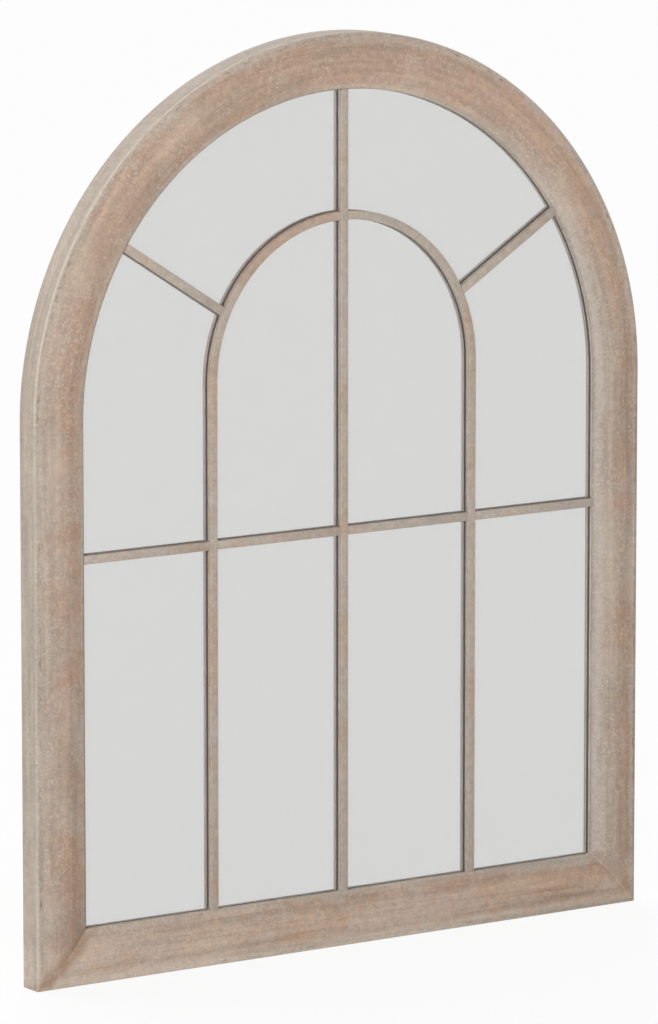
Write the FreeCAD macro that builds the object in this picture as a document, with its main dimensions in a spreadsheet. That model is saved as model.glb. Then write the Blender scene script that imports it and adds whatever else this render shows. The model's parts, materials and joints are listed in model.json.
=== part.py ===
"""Arched window-pane wall mirror.

A timber frame of run moulding, mitred at the bottom corners and joined up from segments round a
half-circle head, holds one mirror behind a grid of thin glazing bars. The frame's flat back lies in
the wall plane y = 0 and its face looks along -Y. The origin is on the wall plane at the middle of the
bottom edge, +Z is up, and all sizes are in millimetres and degrees.
"""
import FreeCAD
import Part
import Sketcher
import math
import os

DRIVING_SIZES = {
    # frame outline
    "width": 710,
    "height": 900,
    "side_depth": 27,
    "crown_segment_angle": 60,
    # moulding section, measured inward from the outer side and forward from the front arris
    "face_width": 55,
    "arris_ease": 1.2,
    "bead_width": 4.5,
    "crown_rise": 5,
    "crown_fall": 0.4,
    "crown_start_share": 0.4,
    "crown_end_share": 0.57,
    "slope_end_share": 0.8,
    "slope_height": 1.2,
    "lip_drop": 0.4,
    "lip_ease": 0.8,
    "lip_depth": 5,
    "rebate_width": 10,
    # sheets behind the lip
    "glass_overlap": 8.5,
    "glass_thickness": 3,
    "silver_thickness": 0.2,
    "board_thickness": 3,
    # glazing bars
    "bar_width": 8.6,
    "bar_ease": 0.5,
    "transom_share": 0.7587,
    "inner_arch_rise": 25.5,
    "radial_angle": 32.3,
    "fan_rise": 5.6,
    "scarf_length": 12,
    "tongue_length": 6,
    "joint_clearance": 0.1,
    # splines in the frame joints
    "spline_length": 30,
    "spline_width": 18,
    "spline_thickness": 6,
    "spline_end_gap": 1,
    "spline_depth": 12,
    # retaining clips and screws
    "clip_thickness": 1,
    "clip_leg": 12,
    "clip_foot": 10,
    "clip_width": 12,
    "clip_bend": 1.6,
    "clip_hole_height": 7.5,
    "clip_arch_step": 30,
    "clip_rail_share": 0.6,
    "screw_diameter": 3,
    "screw_length": 12,
    "screw_head_diameter": 6,
    "screw_head_height": 1.8,
    # ring hangers
    "hanger_rise": 75,
    "strap_width": 14,
    "strap_length": 34,
    "strap_thickness": 1.2,
    "strap_first_screw": 8.5,
    "eye_standoff": 3,
    "ring_wire": 2.6,
    "ring_inner_width": 18,
    "ring_corner": 3,
    "ring_side": 7,
    "ring_clearance": 0.08,
}

doc = FreeCAD.newDocument("arched_mirror")
sheet = doc.addObject("Spreadsheet::Sheet", "Sizes")
for row, (alias, number) in enumerate(DRIVING_SIZES.items(), start=1):
    sheet.set(f"A{row}", alias)
    sheet.set(f"B{row}", str(number))
    sheet.setAlias(f"B{row}", alias)
doc.recompute()


class Size:
    """A length or angle that carries both its present value and the expression that drives it."""

    def __init__(self, value, text):
        self.value = value
        self.text = text

    def __add__(self, other):
        other = as_size(other)
        return Size(self.value + other.value, f"({self.text} + {other.text})")

    def __sub__(self, other):
        other = as_size(other)
        return Size(self.value - other.value, f"({self.text} - {other.text})")

    def __mul__(self, other):
        other = as_size(other)
        return Size(self.value * other.value, f"({self.text} * {other.text})")

    def __truediv__(self, other):
        other = as_size(other)
        return Size(self.value / other.value, f"({self.text} / {other.text})")

    def __rsub__(self, other):
        return as_size(other) - self

    def __neg__(self):
        return Size(-self.value, f"(0 - {self.text})")


def as_size(number):
    """Wrap a plain number as a Size; a Size passes through."""
    if isinstance(number, Size):
        return number
    return Size(float(number), str(number))


def size(alias):
    """The driving size of that name."""
    return Size(float(sheet.get(alias)), f"Sizes.{alias}")


def cosine(angle):
    return Size(math.cos(math.radians(angle.value)), f"cos({angle.text})")


def sine(angle):
    return Size(math.sin(math.radians(angle.value)), f"sin({angle.text})")


def root(square):
    return Size(math.sqrt(square.value), f"sqrt({square.text})")


ZERO = as_size(0)
UP_FROM_X = FreeCAD.Vector(0, -1, 0)
BACKWARD = FreeCAD.Vector(0, 1, 0)
ACROSS = FreeCAD.Vector(1, 0, 0)
SMALL_SIDES = 8

half_width = size("width") / 2
spring = size("height") - half_width
face_width = size("face_width")
lip = half_width - face_width
rebate = lip + size("rebate_width")
front = size("side_depth")
bar_front = front - size("lip_drop")
bar_back = bar_front - size("lip_depth")
bar_middle = bar_front - size("lip_depth") / 2
glass_back = bar_back - size("glass_thickness")
silver_back = glass_back - size("silver_thickness")
board_back = silver_back - size("board_thickness")
half_bar = size("bar_width") / 2
clearance = size("joint_clearance")
half_notch = half_bar + clearance
transom_height = spring * size("transom_share")
pane_pitch = (lip + half_bar) / 2
inner_spring = spring + size("inner_arch_rise")
tongue = size("tongue_length")
bar_ease = size("bar_ease")


def new_body(label):
    """An empty body whose name and label are the node's name."""
    body = doc.addObject("PartDesign::Body", label)
    body.Label = label
    return body


def origin_plane(body, role):
    """One of the body's own origin planes."""
    for feature in body.Origin.OriginFeatures:
        if feature.Role == role:
            return feature
    raise LookupError(role)


def fix_coordinate(sketch, kind, geometry, point, place, name):
    """Pin one coordinate of a sketch point to a size, or to the axis where it is plain zero."""
    if place.text == "0":
        axis = -2 if kind == "DistanceX" else -1
        sketch.addConstraint(Sketcher.Constraint("PointOnObject", geometry, point, axis))
        return
    index = sketch.addConstraint(Sketcher.Constraint(kind, geometry, point, place.value))
    sketch.renameConstraint(index, name)
    sketch.setExpression(f"Constraints.{name}", place.text)


def bend_centre(start, end, axis, known):
    """Centre of an arc through two points, from the one centre coordinate that is known."""
    other = 1 - axis
    gain = (known - end[axis]) ** 2 - (known - start[axis]) ** 2
    rise = end[other] - start[other]
    if abs(rise) > 1e-9:
        found = (gain + end[other] ** 2 - start[other] ** 2) / (2 * rise)
    else:
        found = start[other]
    centre = [0.0, 0.0]
    centre[axis] = known
    centre[other] = found
    return centre


def straddled_centre(start, end, axis, known):
    """Centre of a half circle: the known coordinate, and midway along the other."""
    centre = [(start[0] + end[0]) / 2, (start[1] + end[1]) / 2]
    centre[axis] = known
    return centre


def add_loop(sketch, prefix, corners):
    """Add one closed outline of lines and arcs, every corner pinned to its sizes.

    A corner is (u, v) or (u, v, bend). A bend turns the edge that leaves the corner into an arc and is
    (axis, centre, turn): the arc centre's coordinate along axis 0 or 1, and +1 for anticlockwise.
    """
    first = sketch.GeometryCount
    count = len(corners)
    ends = []
    for index, corner in enumerate(corners):
        following = corners[(index + 1) % count]
        start = (corner[0].value, corner[1].value)
        end = (following[0].value, following[1].value)
        if len(corner) == 2:
            sketch.addGeometry(Part.LineSegment(FreeCAD.Vector(*start, 0), FreeCAD.Vector(*end, 0)))
            ends.append((1, 2))
            continue
        axis, known, turn = corner[2]
        if abs(start[axis] - end[axis]) < 1e-9:
            centre = straddled_centre(start, end, axis, known.value)
        else:
            centre = bend_centre(start, end, axis, known.value)
        circle = Part.Circle(FreeCAD.Vector(*centre, 0), FreeCAD.Vector(0, 0, 1), math.dist(start, centre))
        from_angle = math.atan2(start[1] - centre[1], start[0] - centre[0])
        to_angle = math.atan2(end[1] - centre[1], end[0] - centre[0])
        if turn < 0:
            from_angle, to_angle = to_angle, from_angle
        if to_angle <= from_angle:
            to_angle += 2 * math.pi
        sketch.addGeometry(Part.ArcOfCircle(circle, from_angle, to_angle))
        ends.append((1, 2) if turn > 0 else (2, 1))
        kind = "DistanceX" if axis == 0 else "DistanceY"
        fix_coordinate(sketch, kind, first + index, 3, known, f"{prefix}c{index}")
    for index, corner in enumerate(corners):
        before = (index - 1) % count
        sketch.addConstraint(Sketcher.Constraint(
            "Coincident", first + before, ends[before][1], first + index, ends[index][0]))
        fix_coordinate(sketch, "DistanceX", first + index, ends[index][0], corner[0], f"{prefix}u{index}")
        fix_coordinate(sketch, "DistanceY", first + index, ends[index][0], corner[1], f"{prefix}v{index}")


def add_circle(sketch, prefix, u, v, radius):
    """Add one circle pinned by its centre and radius."""
    centre = FreeCAD.Vector(u.value, v.value, 0)
    geometry = sketch.addGeometry(Part.Circle(centre, FreeCAD.Vector(0, 0, 1), radius.value))
    fix_coordinate(sketch, "DistanceX", geometry, 3, u, f"{prefix}u")
    fix_coordinate(sketch, "DistanceY", geometry, 3, v, f"{prefix}v")
    index = sketch.addConstraint(Sketcher.Constraint("Radius", geometry, radius.value))
    sketch.renameConstraint(index, f"{prefix}r")
    sketch.setExpression(f"Constraints.{prefix}r", radius.text)


def polygon(radius, sides, u=ZERO, v=ZERO):
    """Corners of a regular outline; small round stock and its holes are drawn with few sides."""
    corners = []
    for index in range(sides):
        angle = 2 * math.pi * (index + 0.5) / sides
        corners.append((u + radius * math.cos(angle), v + radius * math.sin(angle)))
    return corners


def new_sketch(body, name, role, loops=(), circles=()):
    """A sketch on one of the body's origin planes, holding closed outlines and circles."""
    sketch = body.newObject("Sketcher::SketchObject", f"{body.Name}_{name}")
    sketch.AttachmentSupport = [(origin_plane(body, role), "")]
    sketch.MapMode = "FlatFace"
    for index, corners in enumerate(loops):
        add_loop(sketch, f"loop{index}", corners)
    for index, (u, v, radius) in enumerate(circles):
        add_circle(sketch, f"circle{index}", u, v, radius)
    return sketch


def pad(body, sketch, length, symmetric=False, backward=False):
    """Raise the sketch by the length, along its normal unless backward or symmetric."""
    feature = body.newObject("PartDesign::Pad", f"{sketch.Name}_pad")
    feature.Profile = sketch
    feature.setExpression("Length", length.text)
    feature.Midplane = symmetric
    feature.Reversed = backward
    return feature


def pocket(body, sketch, length, symmetric=False, forward=False):
    """Sink the sketch by the length, against its normal unless forward or symmetric."""
    feature = body.newObject("PartDesign::Pocket", f"{sketch.Name}_pocket")
    feature.Profile = sketch
    feature.setExpression("Length", length.text)
    feature.Midplane = symmetric
    feature.Reversed = forward
    return feature


def ease_front(body, feature, level):
    """Bevel the long front edges of a bar, those that run along it at that level."""
    doc.recompute()
    edges = []
    for index, edge in enumerate(feature.Shape.Edges, start=1):
        in_front = all(abs(vertex.Y - level.value) < 1e-6 for vertex in edge.Vertexes)
        if in_front and abs(edge.Length - size("bar_width").value) > 0.5:
            edges.append(f"Edge{index}")
    bevel = body.newObject("PartDesign::Chamfer", f"{body.Name}_easing")
    bevel.Base = (feature, edges)
    bevel.setExpression("Size", bar_ease.text)


def place(item, x=ZERO, y=ZERO, z=ZERO, axis=None, angle=None):
    """Bind the item's position, and its turn about an axis, to sizes."""
    if axis is not None:
        item.Placement = FreeCAD.Placement(FreeCAD.Vector(), FreeCAD.Rotation(axis, angle.value))
        if "Sizes." in angle.text:
            item.setExpression("Placement.Rotation.Angle", angle.text)
    for letter, distance in (("x", x), ("y", y), ("z", z)):
        item.setExpression(f"Placement.Base.{letter}", distance.text)
    return item


def cylinder(name, radius, height):
    item = doc.addObject("Part::Cylinder", name)
    item.setExpression("Radius", radius.text)
    item.setExpression("Height", height.text)
    return item


def box(name, length, width, height):
    item = doc.addObject("Part::Box", name)
    item.setExpression("Length", length.text)
    item.setExpression("Width", width.text)
    item.setExpression("Height", height.text)
    return item


def group(name, items):
    """Several separate solids as one object."""
    item = doc.addObject("Part::Compound", name)
    item.Links = items
    return item


def mirrored(name, source):
    """The left-hand twin of a right-hand piece."""
    item = doc.addObject("Part::Mirroring", name)
    item.Source = source
    item.Normal = FreeCAD.Vector(1, 0, 0)
    return item


def boolean(kind, name, base, tool):
    """Part::Cut, Part::Fuse or Part::Common of two objects."""
    item = doc.addObject(kind, name)
    item.Base = base
    item.Tool = tool
    return item


def repeat(name, master):
    """Another copy of a small piece, to be placed on its own."""
    item = doc.addObject("App::Link", name)
    item.LinkedObject = master
    return item


# Moulding: one section serves the stiles, the rail and the arch.

def moulding_corners(to_sketch, section_axis):
    """The moulding's section as sketch corners.

    It is given as (distance in from the outer side, distance forward from the wall) and runs clockwise
    from the back outer corner: side, eased arris, flat bead, ogee rise, crown, inner slope, inner band,
    eased lip, lip wall, rebate floor and rebate wall.
    """
    crown_start = face_width * size("crown_start_share")
    crown_end = face_width * size("crown_end_share")
    slope_end = face_width * size("slope_end_share")
    bead = size("bead_width")
    arris = size("arris_ease")
    lip_ease = size("lip_ease")
    crown = front + size("crown_rise")
    rebate_wall = face_width - size("rebate_width")
    section = (
        (ZERO, ZERO, None),
        (ZERO, front - arris, None),
        (arris, front, None),
        (bead, front, (bead, 1)),
        ((bead + crown_start) / 2, front + size("crown_rise") / 2, (crown_start, -1)),
        (crown_start, crown, None),
        (crown_end, crown - size("crown_fall"), None),
        (slope_end, front + size("slope_height"), None),
        (face_width - lip_ease, bar_front, None),
        (face_width, bar_front - lip_ease, None),
        (face_width, bar_back, None),
        (rebate_wall, bar_back, None),
        (rebate_wall, ZERO, None),
    )
    corners = []
    for inward, forward, bend in section:
        corner = to_sketch(inward, forward)
        if bend is not None:
            centre, turn = bend
            corner = corner + ((section_axis, to_sketch(centre, ZERO)[section_axis], turn),)
        corners.append(corner)
    return corners


def upright_section(inward, forward):
    """Section place on a level plane, right-hand side: across, then towards the wall."""
    return (half_width - inward, ZERO if forward is ZERO else -forward)


def level_section(inward, forward):
    """Section place on the middle plane of the bottom rail: towards the wall, then up."""
    return (ZERO if forward is ZERO else -forward, inward)


def mitre_corner(across, up):
    return (half_width - across, up)


mitre_reach = face_width + tongue
moulding_depth = front + size("crown_rise")

right_stile_body = new_body("right_stile_blank")
pad(right_stile_body, new_sketch(right_stile_body, "section", "XY_Plane",
                                 [moulding_corners(upright_section, 0)]), spring)
right_stile_mitre = [
    mitre_corner(ZERO, ZERO),
    mitre_corner(mitre_reach, mitre_reach),
    mitre_corner(mitre_reach, ZERO),
]
pocket(right_stile_body, new_sketch(right_stile_body, "mitre", "XZ_Plane", [right_stile_mitre]),
       moulding_depth * 3, symmetric=True)

bottom_rail_body = new_body("bottom_rail_blank")
pad(bottom_rail_body, new_sketch(bottom_rail_body, "section", "YZ_Plane",
                                 [moulding_corners(level_section, 1)]), size("width"), symmetric=True)
right_rail_mitre = [
    (half_width, ZERO),
    (half_width, mitre_reach),
    (half_width - mitre_reach, mitre_reach),
]
left_rail_mitre = [
    (-half_width, ZERO),
    (mitre_reach - half_width, mitre_reach),
    (-half_width, mitre_reach),
]
pocket(bottom_rail_body, new_sketch(bottom_rail_body, "mitres", "XZ_Plane",
                                    [right_rail_mitre, left_rail_mitre]),
       moulding_depth * 3, symmetric=True)

haunch_angle = (180 - size("crown_segment_angle")) / 2


def arch_blank(name, angle):
    """A length of arch: the section turned about the arch centre, upward from the spring line."""
    body = new_body(name)
    sketch = new_sketch(body, "section", "XY_Plane", [moulding_corners(upright_section, 0)])
    turn = body.newObject("PartDesign::Revolution", f"{name}_turn")
    turn.Profile = sketch
    turn.ReferenceAxis = (sketch, ["V_Axis"])
    turn.setExpression("Angle", angle.text)
    turn.Reversed = True
    return body


arch_right_body = place(arch_blank("arch_right_blank", haunch_angle), z=spring)
arch_crown_body = place(arch_blank("arch_crown_blank", size("crown_segment_angle")), z=spring,
                        axis=UP_FROM_X, angle=haunch_angle)


# Frame joints: one loose spline across each mitre, each spring-line joint and each arch joint.

def spline_blank(name, spare_side, spare_end):
    """A flat strip centred on its own origin, upright, grown by the spares."""
    body = new_body(name)
    half_across = size("spline_width") / 2 + spare_side
    half_along = size("spline_length") / 2 + spare_end
    outline = [
        (-half_across, -half_along),
        (half_across, -half_along),
        (half_across, half_along),
        (-half_across, half_along),
    ]
    pad(body, new_sketch(body, "outline", "XZ_Plane", [outline]), size("spline_thickness") + spare_side * 2,
        symmetric=True)
    return body


def spline_set(name, blank):
    """Copies of the strip across the right-hand frame joints, in the middle of the timber behind the lip."""
    level = -size("spline_depth")
    inset = (face_width - size("rebate_width")) / 2
    radius = half_width - inset
    mitre = place(repeat(f"{name}_mitre", blank), radius, level, inset, BACKWARD, as_size(45))
    at_spring = place(repeat(f"{name}_spring", blank), radius, level, spring)
    haunch = place(repeat(f"{name}_haunch", blank), radius * cosine(haunch_angle), level,
                   spring + radius * sine(haunch_angle), UP_FROM_X, haunch_angle)
    return group(name, [mitre, at_spring, haunch])


right_splines = spline_set("right_splines", spline_blank("spline_master", ZERO, ZERO))
joint_splines = group("joint_splines", [right_splines, mirrored("left_splines", right_splines)])
right_spline_slots = spline_set("right_spline_slots",
                                spline_blank("spline_slot_master", clearance, size("spline_end_gap")))


# Glazing bars: straight bars are halved over each other and end in tongues let into the lip.

def notch(centre, near, far):
    """Four corners of a square notch across a bar, from the near face to the far one and back."""
    return [
        (centre - half_notch, near),
        (centre - half_notch, far),
        (centre + half_notch, far),
        (centre + half_notch, near),
    ]


def swapped(corners):
    """Corners given as (along, forward) turned for a sketch whose first axis points at the wall."""
    return [(-forward, along) for along, forward in corners]


def flipped(corners):
    """Corners given as (along, forward) for a sketch whose second axis points at the wall."""
    return [(along, -forward) for along, forward in corners]


transom_body = new_body("transom_bar")
transom_side = [
    (-lip - tongue, bar_back),
    (-lip - tongue, bar_middle),
    (-lip, bar_middle),
    (-lip, bar_front),
    *notch(-pane_pitch, bar_front, bar_middle),
    *notch(ZERO, bar_front, bar_middle),
    *notch(pane_pitch, bar_front, bar_middle),
    (lip, bar_front),
    (lip, bar_middle),
    (lip + tongue, bar_middle),
    (lip + tongue, bar_back),
]
transom_pad = pad(transom_body, new_sketch(transom_body, "side", "XY_Plane", [flipped(transom_side)]),
                  size("bar_width"), symmetric=True)
ease_front(transom_body, transom_pad, -bar_front)
transom_bar = place(transom_body, z=transom_height)

crown_crossing = inner_spring + pane_pitch
opening_top = spring + lip
centre_mullion = new_body("centre_mullion")
centre_side = [
    (face_width - tongue, bar_back),
    *notch(transom_height, bar_back, bar_middle),
    *notch(crown_crossing, bar_back, bar_middle),
    (opening_top + tongue, bar_back),
    (opening_top + tongue, bar_middle),
    (opening_top - clearance, bar_middle),
    (opening_top - clearance, bar_front),
    (face_width, bar_front),
    (face_width, bar_middle),
    (face_width - tongue, bar_middle),
]
centre_pad = pad(centre_mullion, new_sketch(centre_mullion, "side", "YZ_Plane", [swapped(centre_side)]),
                 size("bar_width"), symmetric=True)
ease_front(centre_mullion, centre_pad, -bar_front)

right_mullion = new_body("right_mullion")
right_side = [
    (face_width - tongue, bar_back),
    *notch(transom_height, bar_back, bar_middle),
    (inner_spring, bar_back),
    (inner_spring, bar_middle),
    (inner_spring - size("scarf_length"), bar_middle),
    (inner_spring - size("scarf_length"), bar_front),
    (face_width, bar_front),
    (face_width, bar_middle),
    (face_width - tongue, bar_middle),
]
right_pad = pad(right_mullion, new_sketch(right_mullion, "side", "YZ_Plane", [swapped(right_side)]),
                size("bar_width"), symmetric=True)
ease_front(right_mullion, right_pad, -bar_front)
place(right_mullion, x=pane_pitch)
left_mullion = mirrored("left_mullion", right_mullion)

inner_radius = pane_pitch - half_bar
outer_radius = pane_pitch + half_bar
scarf = -size("scarf_length")
half_depth = size("lip_depth") / 2
head_blank = new_body("inner_arch_blank")
head_back = [
    (outer_radius, ZERO, (1, ZERO, 1)),
    (-outer_radius, ZERO),
    (-inner_radius, ZERO, (1, ZERO, -1)),
    (inner_radius, ZERO),
]
head_front = [
    (outer_radius, scarf),
    (outer_radius, ZERO, (1, ZERO, 1)),
    (-outer_radius, ZERO),
    (-outer_radius, scarf),
    (-inner_radius, scarf),
    (-inner_radius, ZERO, (1, ZERO, -1)),
    (inner_radius, ZERO),
    (inner_radius, scarf),
]
pad(head_blank, new_sketch(head_blank, "back", "XZ_Plane", [head_back]), half_depth, backward=True)
pad(head_blank, new_sketch(head_blank, "front", "XZ_Plane", [head_front]), half_depth)
crown_notch = [
    (-half_notch, inner_radius - half_bar),
    (half_notch, inner_radius - half_bar),
    (half_notch, outer_radius + half_bar),
    (-half_notch, outer_radius + half_bar),
]
head_notched = pocket(head_blank, new_sketch(head_blank, "notch", "XZ_Plane", [crown_notch]),
                      half_depth, forward=True)
ease_front(head_blank, head_notched, -half_depth)
place(head_blank, y=-bar_middle, z=inner_spring)


def radial_blank(name, half_thickness, back, depth):
    """A long bar along the right-hand radial line, square-ended, from the wall side forward."""
    item = box(name, lip * 2, depth, half_thickness * 2)
    across = half_thickness * sine(size("radial_angle"))
    up = spring + size("fan_rise") - half_thickness * cosine(size("radial_angle"))
    return place(item, across, -back - depth, up, UP_FROM_X, size("radial_angle"))


def drum(name, radius, height, centre_height, back):
    """A disc facing the viewer, of that radius, from the wall side forward."""
    item = cylinder(name, radius, height)
    return place(item, ZERO, -back, centre_height, ACROSS, as_size(90))


radial_bar_blank = new_body("radial_bar_blank")
radial_section = [
    (-bar_back, -half_bar),
    (-bar_back, half_bar),
    (bar_ease - bar_front, half_bar),
    (-bar_front, half_bar - bar_ease),
    (-bar_front, bar_ease - half_bar),
    (bar_ease - bar_front, -half_bar),
]
pad(radial_bar_blank, new_sketch(radial_bar_blank, "section", "YZ_Plane", [radial_section]), lip * 2)
place(radial_bar_blank, z=spring + size("fan_rise"), axis=UP_FROM_X, angle=size("radial_angle"))
radial_reach = boolean("Part::Fuse", "radial_reach",
                       drum("radial_reach_front", lip - clearance, half_depth, spring, bar_middle),
                       drum("radial_reach_back", lip + tongue, half_depth, spring, bar_back))
radial_start = boolean("Part::Fuse", "radial_start",
                       drum("radial_start_front", outer_radius, half_depth, inner_spring, bar_middle),
                       drum("radial_start_back", pane_pitch, half_depth, inner_spring, bar_back))
right_radial_bar = boolean("Part::Cut", "right_radial_bar",
                           boolean("Part::Common", "radial_bar_reached", radial_bar_blank, radial_reach),
                           radial_start)
left_radial_bar = mirrored("left_radial_bar", right_radial_bar)

radial_lap = boolean("Part::Cut", "radial_lap",
                     radial_blank("radial_lap_blank", half_notch, bar_back, half_depth),
                     drum("radial_lap_start", pane_pitch - clearance, half_depth, inner_spring, bar_back))
inner_arch_head = boolean("Part::Cut", "inner_arch_head", head_blank,
                          group("radial_laps", [radial_lap, mirrored("left_radial_lap", radial_lap)]))


# Slots in the back of the lip that take the bars' tongues.

slot_length = tongue + clearance
slot_depth = half_depth + clearance
slot_back = bar_back - size("glass_thickness") / 2
slot_height = slot_depth + size("glass_thickness") / 2


def bar_slot(name, x, z, across, up):
    """A slot whose low corner is at x, z, sunk forward from just behind the rebate floor."""
    return place(box(name, across, slot_height, up), x, -slot_back - slot_height, z)


transom_slot = bar_slot("transom_slot", lip - clearance, transom_height - half_notch,
                        slot_length + clearance, half_notch * 2)
mullion_slot = bar_slot("mullion_slot", pane_pitch - half_notch, face_width - slot_length,
                        half_notch * 2, slot_length + clearance)
centre_foot_slot = bar_slot("centre_foot_slot", -half_notch, face_width - slot_length,
                            half_notch * 2, slot_length + clearance)
centre_head_slot = bar_slot("centre_head_slot", -half_notch, opening_top - clearance - half_bar,
                            half_notch * 2, slot_length + clearance + half_bar)
radial_slot = boolean("Part::Common", "radial_slot",
                      radial_blank("radial_slot_blank", half_notch, slot_back, slot_height),
                      drum("radial_slot_reach", lip + slot_length, slot_height, spring, slot_back))


# Sheets behind the lip: mirror glass, its silvered coat and the backing board.

def arched_sheet(name, thickness, back):
    """A flat sheet with the opening's outline plus the overlap, its back face at that depth."""
    body = new_body(name)
    reach = lip + size("glass_overlap")
    foot = face_width - size("glass_overlap")
    outline = [
        (-reach, foot),
        (reach, foot),
        (reach, spring, (1, spring, 1)),
        (-reach, spring),
    ]
    pad(body, new_sketch(body, "outline", "XZ_Plane", [outline]), thickness)
    return place(body, y=-back)


mirror_glass = arched_sheet("mirror_glass", size("glass_thickness"), glass_back)
mirror_silvering = arched_sheet("mirror_silvering", size("silver_thickness"), silver_back)
backing_board = arched_sheet("backing_board", size("board_thickness"), board_back)


# Retaining clips: bent steel angles screwed to the rebate wall, pressing on the backing board.

clip_thickness = size("clip_thickness")
clip_bend = size("clip_bend")
clip_master = new_body("clip_master")
clip_profile = [
    (clip_bend, ZERO),
    (size("clip_foot"), ZERO),
    (size("clip_foot"), clip_thickness),
    (clip_bend, clip_thickness),
    (clip_thickness, clip_bend),
    (clip_thickness, size("clip_leg")),
    (ZERO, size("clip_leg")),
    (ZERO, clip_bend),
]
pad(clip_master, new_sketch(clip_master, "profile", "XY_Plane", [clip_profile]),
    size("clip_width"), symmetric=True)
shank = size("screw_diameter") / 2
clip_hole = polygon(shank + clearance, SMALL_SIDES, size("clip_hole_height"))
clip_bore = new_sketch(clip_master, "hole", "YZ_Plane", [clip_hole])
pocket(clip_master, clip_bore, size("clip_foot"), symmetric=True)

screw_master = new_body("screw_master")
screw_shank = new_sketch(screw_master, "shank", "XY_Plane", [polygon(shank, SMALL_SIDES)])
pad(screw_master, screw_shank, size("screw_length"), backward=True)
head_outline = polygon(size("screw_head_diameter") / 2, SMALL_SIDES)
screw_head = new_sketch(screw_master, "head", "XY_Plane", [head_outline])
pad(screw_master, screw_head, size("screw_head_height"))
screw_hole_master = new_body("screw_hole_master")
screw_bore = new_sketch(screw_hole_master, "bore", "XY_Plane", [polygon(shank + clearance, SMALL_SIDES)])
pad(screw_hole_master, screw_bore, size("screw_length"))


def clip_station(name, x, z, angle):
    """A clip, its screw and its hole on the rebate wall, facing inward from that arch angle."""
    level = size("clip_hole_height") - board_back
    clip = place(repeat(f"clip_{name}", clip_master), x, -board_back, z, BACKWARD, 180 - angle)
    inward_x = -cosine(angle)
    inward_z = -sine(angle)
    screw = place(repeat(f"clip_screw_{name}", screw_master), x + inward_x * clip_thickness, level,
                  z + inward_z * clip_thickness, BACKWARD, 270 - angle)
    hole = place(repeat(f"clip_hole_{name}", screw_hole_master), x - inward_x * size("screw_length"), level,
                 z - inward_z * size("screw_length"), BACKWARD, 270 - angle)
    return clip, screw, hole


clip_radius = rebate - clearance
right_stations = []
for index in range(3):
    height = face_width + (spring - face_width) * ((2 * index + 1) / 6)
    right_stations.append(clip_station(f"stile_{index}", rebate, height, ZERO))
for index in range(1, 3):
    angle = size("clip_arch_step") * index
    right_stations.append(clip_station(f"arch_{index}", clip_radius * cosine(angle),
                                       spring + clip_radius * sine(angle), angle))
rail_wall = face_width - size("rebate_width")
right_stations.append(clip_station("rail_1", lip * size("clip_rail_share"), rail_wall, as_size(270)))
middle_stations = [
    clip_station("rail_0", ZERO, rail_wall, as_size(270)),
    clip_station("arch_0", ZERO, spring + clip_radius, as_size(90)),
]


def station_groups(side, stations):
    """The clips, the screws and the holes of several stations, each kind as one group."""
    clips, screws, holes = zip(*stations)
    return (group(f"{side}_clips", list(clips)), group(f"{side}_clip_screws", list(screws)),
            group(f"{side}_clip_holes", list(holes)))


right_clips, right_screws, right_holes = station_groups("right", right_stations)
middle_clips, middle_screws, middle_holes = station_groups("middle", middle_stations)
retaining_clips = group("retaining_clips",
                        [right_clips, middle_clips, mirrored("left_clips", right_clips)])
clip_screws = group("clip_screws", [right_screws, middle_screws, mirrored("left_clip_screws", right_screws)])


# Ring hangers on the haunches: a strap with an eye, two screws and a loose D-ring.

strap_thickness = size("strap_thickness")
half_strap = size("strap_width") / 2
strap_end = half_strap - size("strap_length")
hanger_radius = (half_width + rebate) / 2
hanger_x = root(hanger_radius * hanger_radius - size("hanger_rise") * size("hanger_rise"))
hanger_z = spring + size("hanger_rise")
eye_bore = size("ring_wire") / 2 + size("ring_clearance")
eye_centre = (size("eye_standoff"), ZERO)

right_hanger_strap = new_body("right_hanger_strap")
strap_outline = [
    (half_strap, ZERO),
    (-half_strap, ZERO),
    (-half_strap, strap_end, (1, strap_end, 1)),
    (half_strap, strap_end),
]
pad(right_hanger_strap, new_sketch(right_hanger_strap, "leaf", "XZ_Plane", [strap_outline]),
    strap_thickness, backward=True)
eye_outline = polygon((eye_bore + strap_thickness) / math.cos(math.pi / SMALL_SIDES), SMALL_SIDES, *eye_centre)
pad(right_hanger_strap, new_sketch(right_hanger_strap, "eye", "YZ_Plane", [eye_outline]),
    size("strap_width"), symmetric=True)
strap_bore = new_sketch(right_hanger_strap, "bore", "YZ_Plane", circles=[(*eye_centre, eye_bore)])
pocket(right_hanger_strap, strap_bore, size("strap_width") * 2, symmetric=True)
strap_holes = [
    polygon(shank + clearance, SMALL_SIDES, ZERO, -size("strap_first_screw")),
    polygon(shank + clearance, SMALL_SIDES, ZERO, strap_end),
]
pocket(right_hanger_strap, new_sketch(right_hanger_strap, "holes", "XZ_Plane", strap_holes),
       strap_thickness * 4, symmetric=True)
place(right_hanger_strap, x=hanger_x, z=hanger_z)
left_hanger_strap = mirrored("left_hanger_strap", right_hanger_strap)

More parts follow.
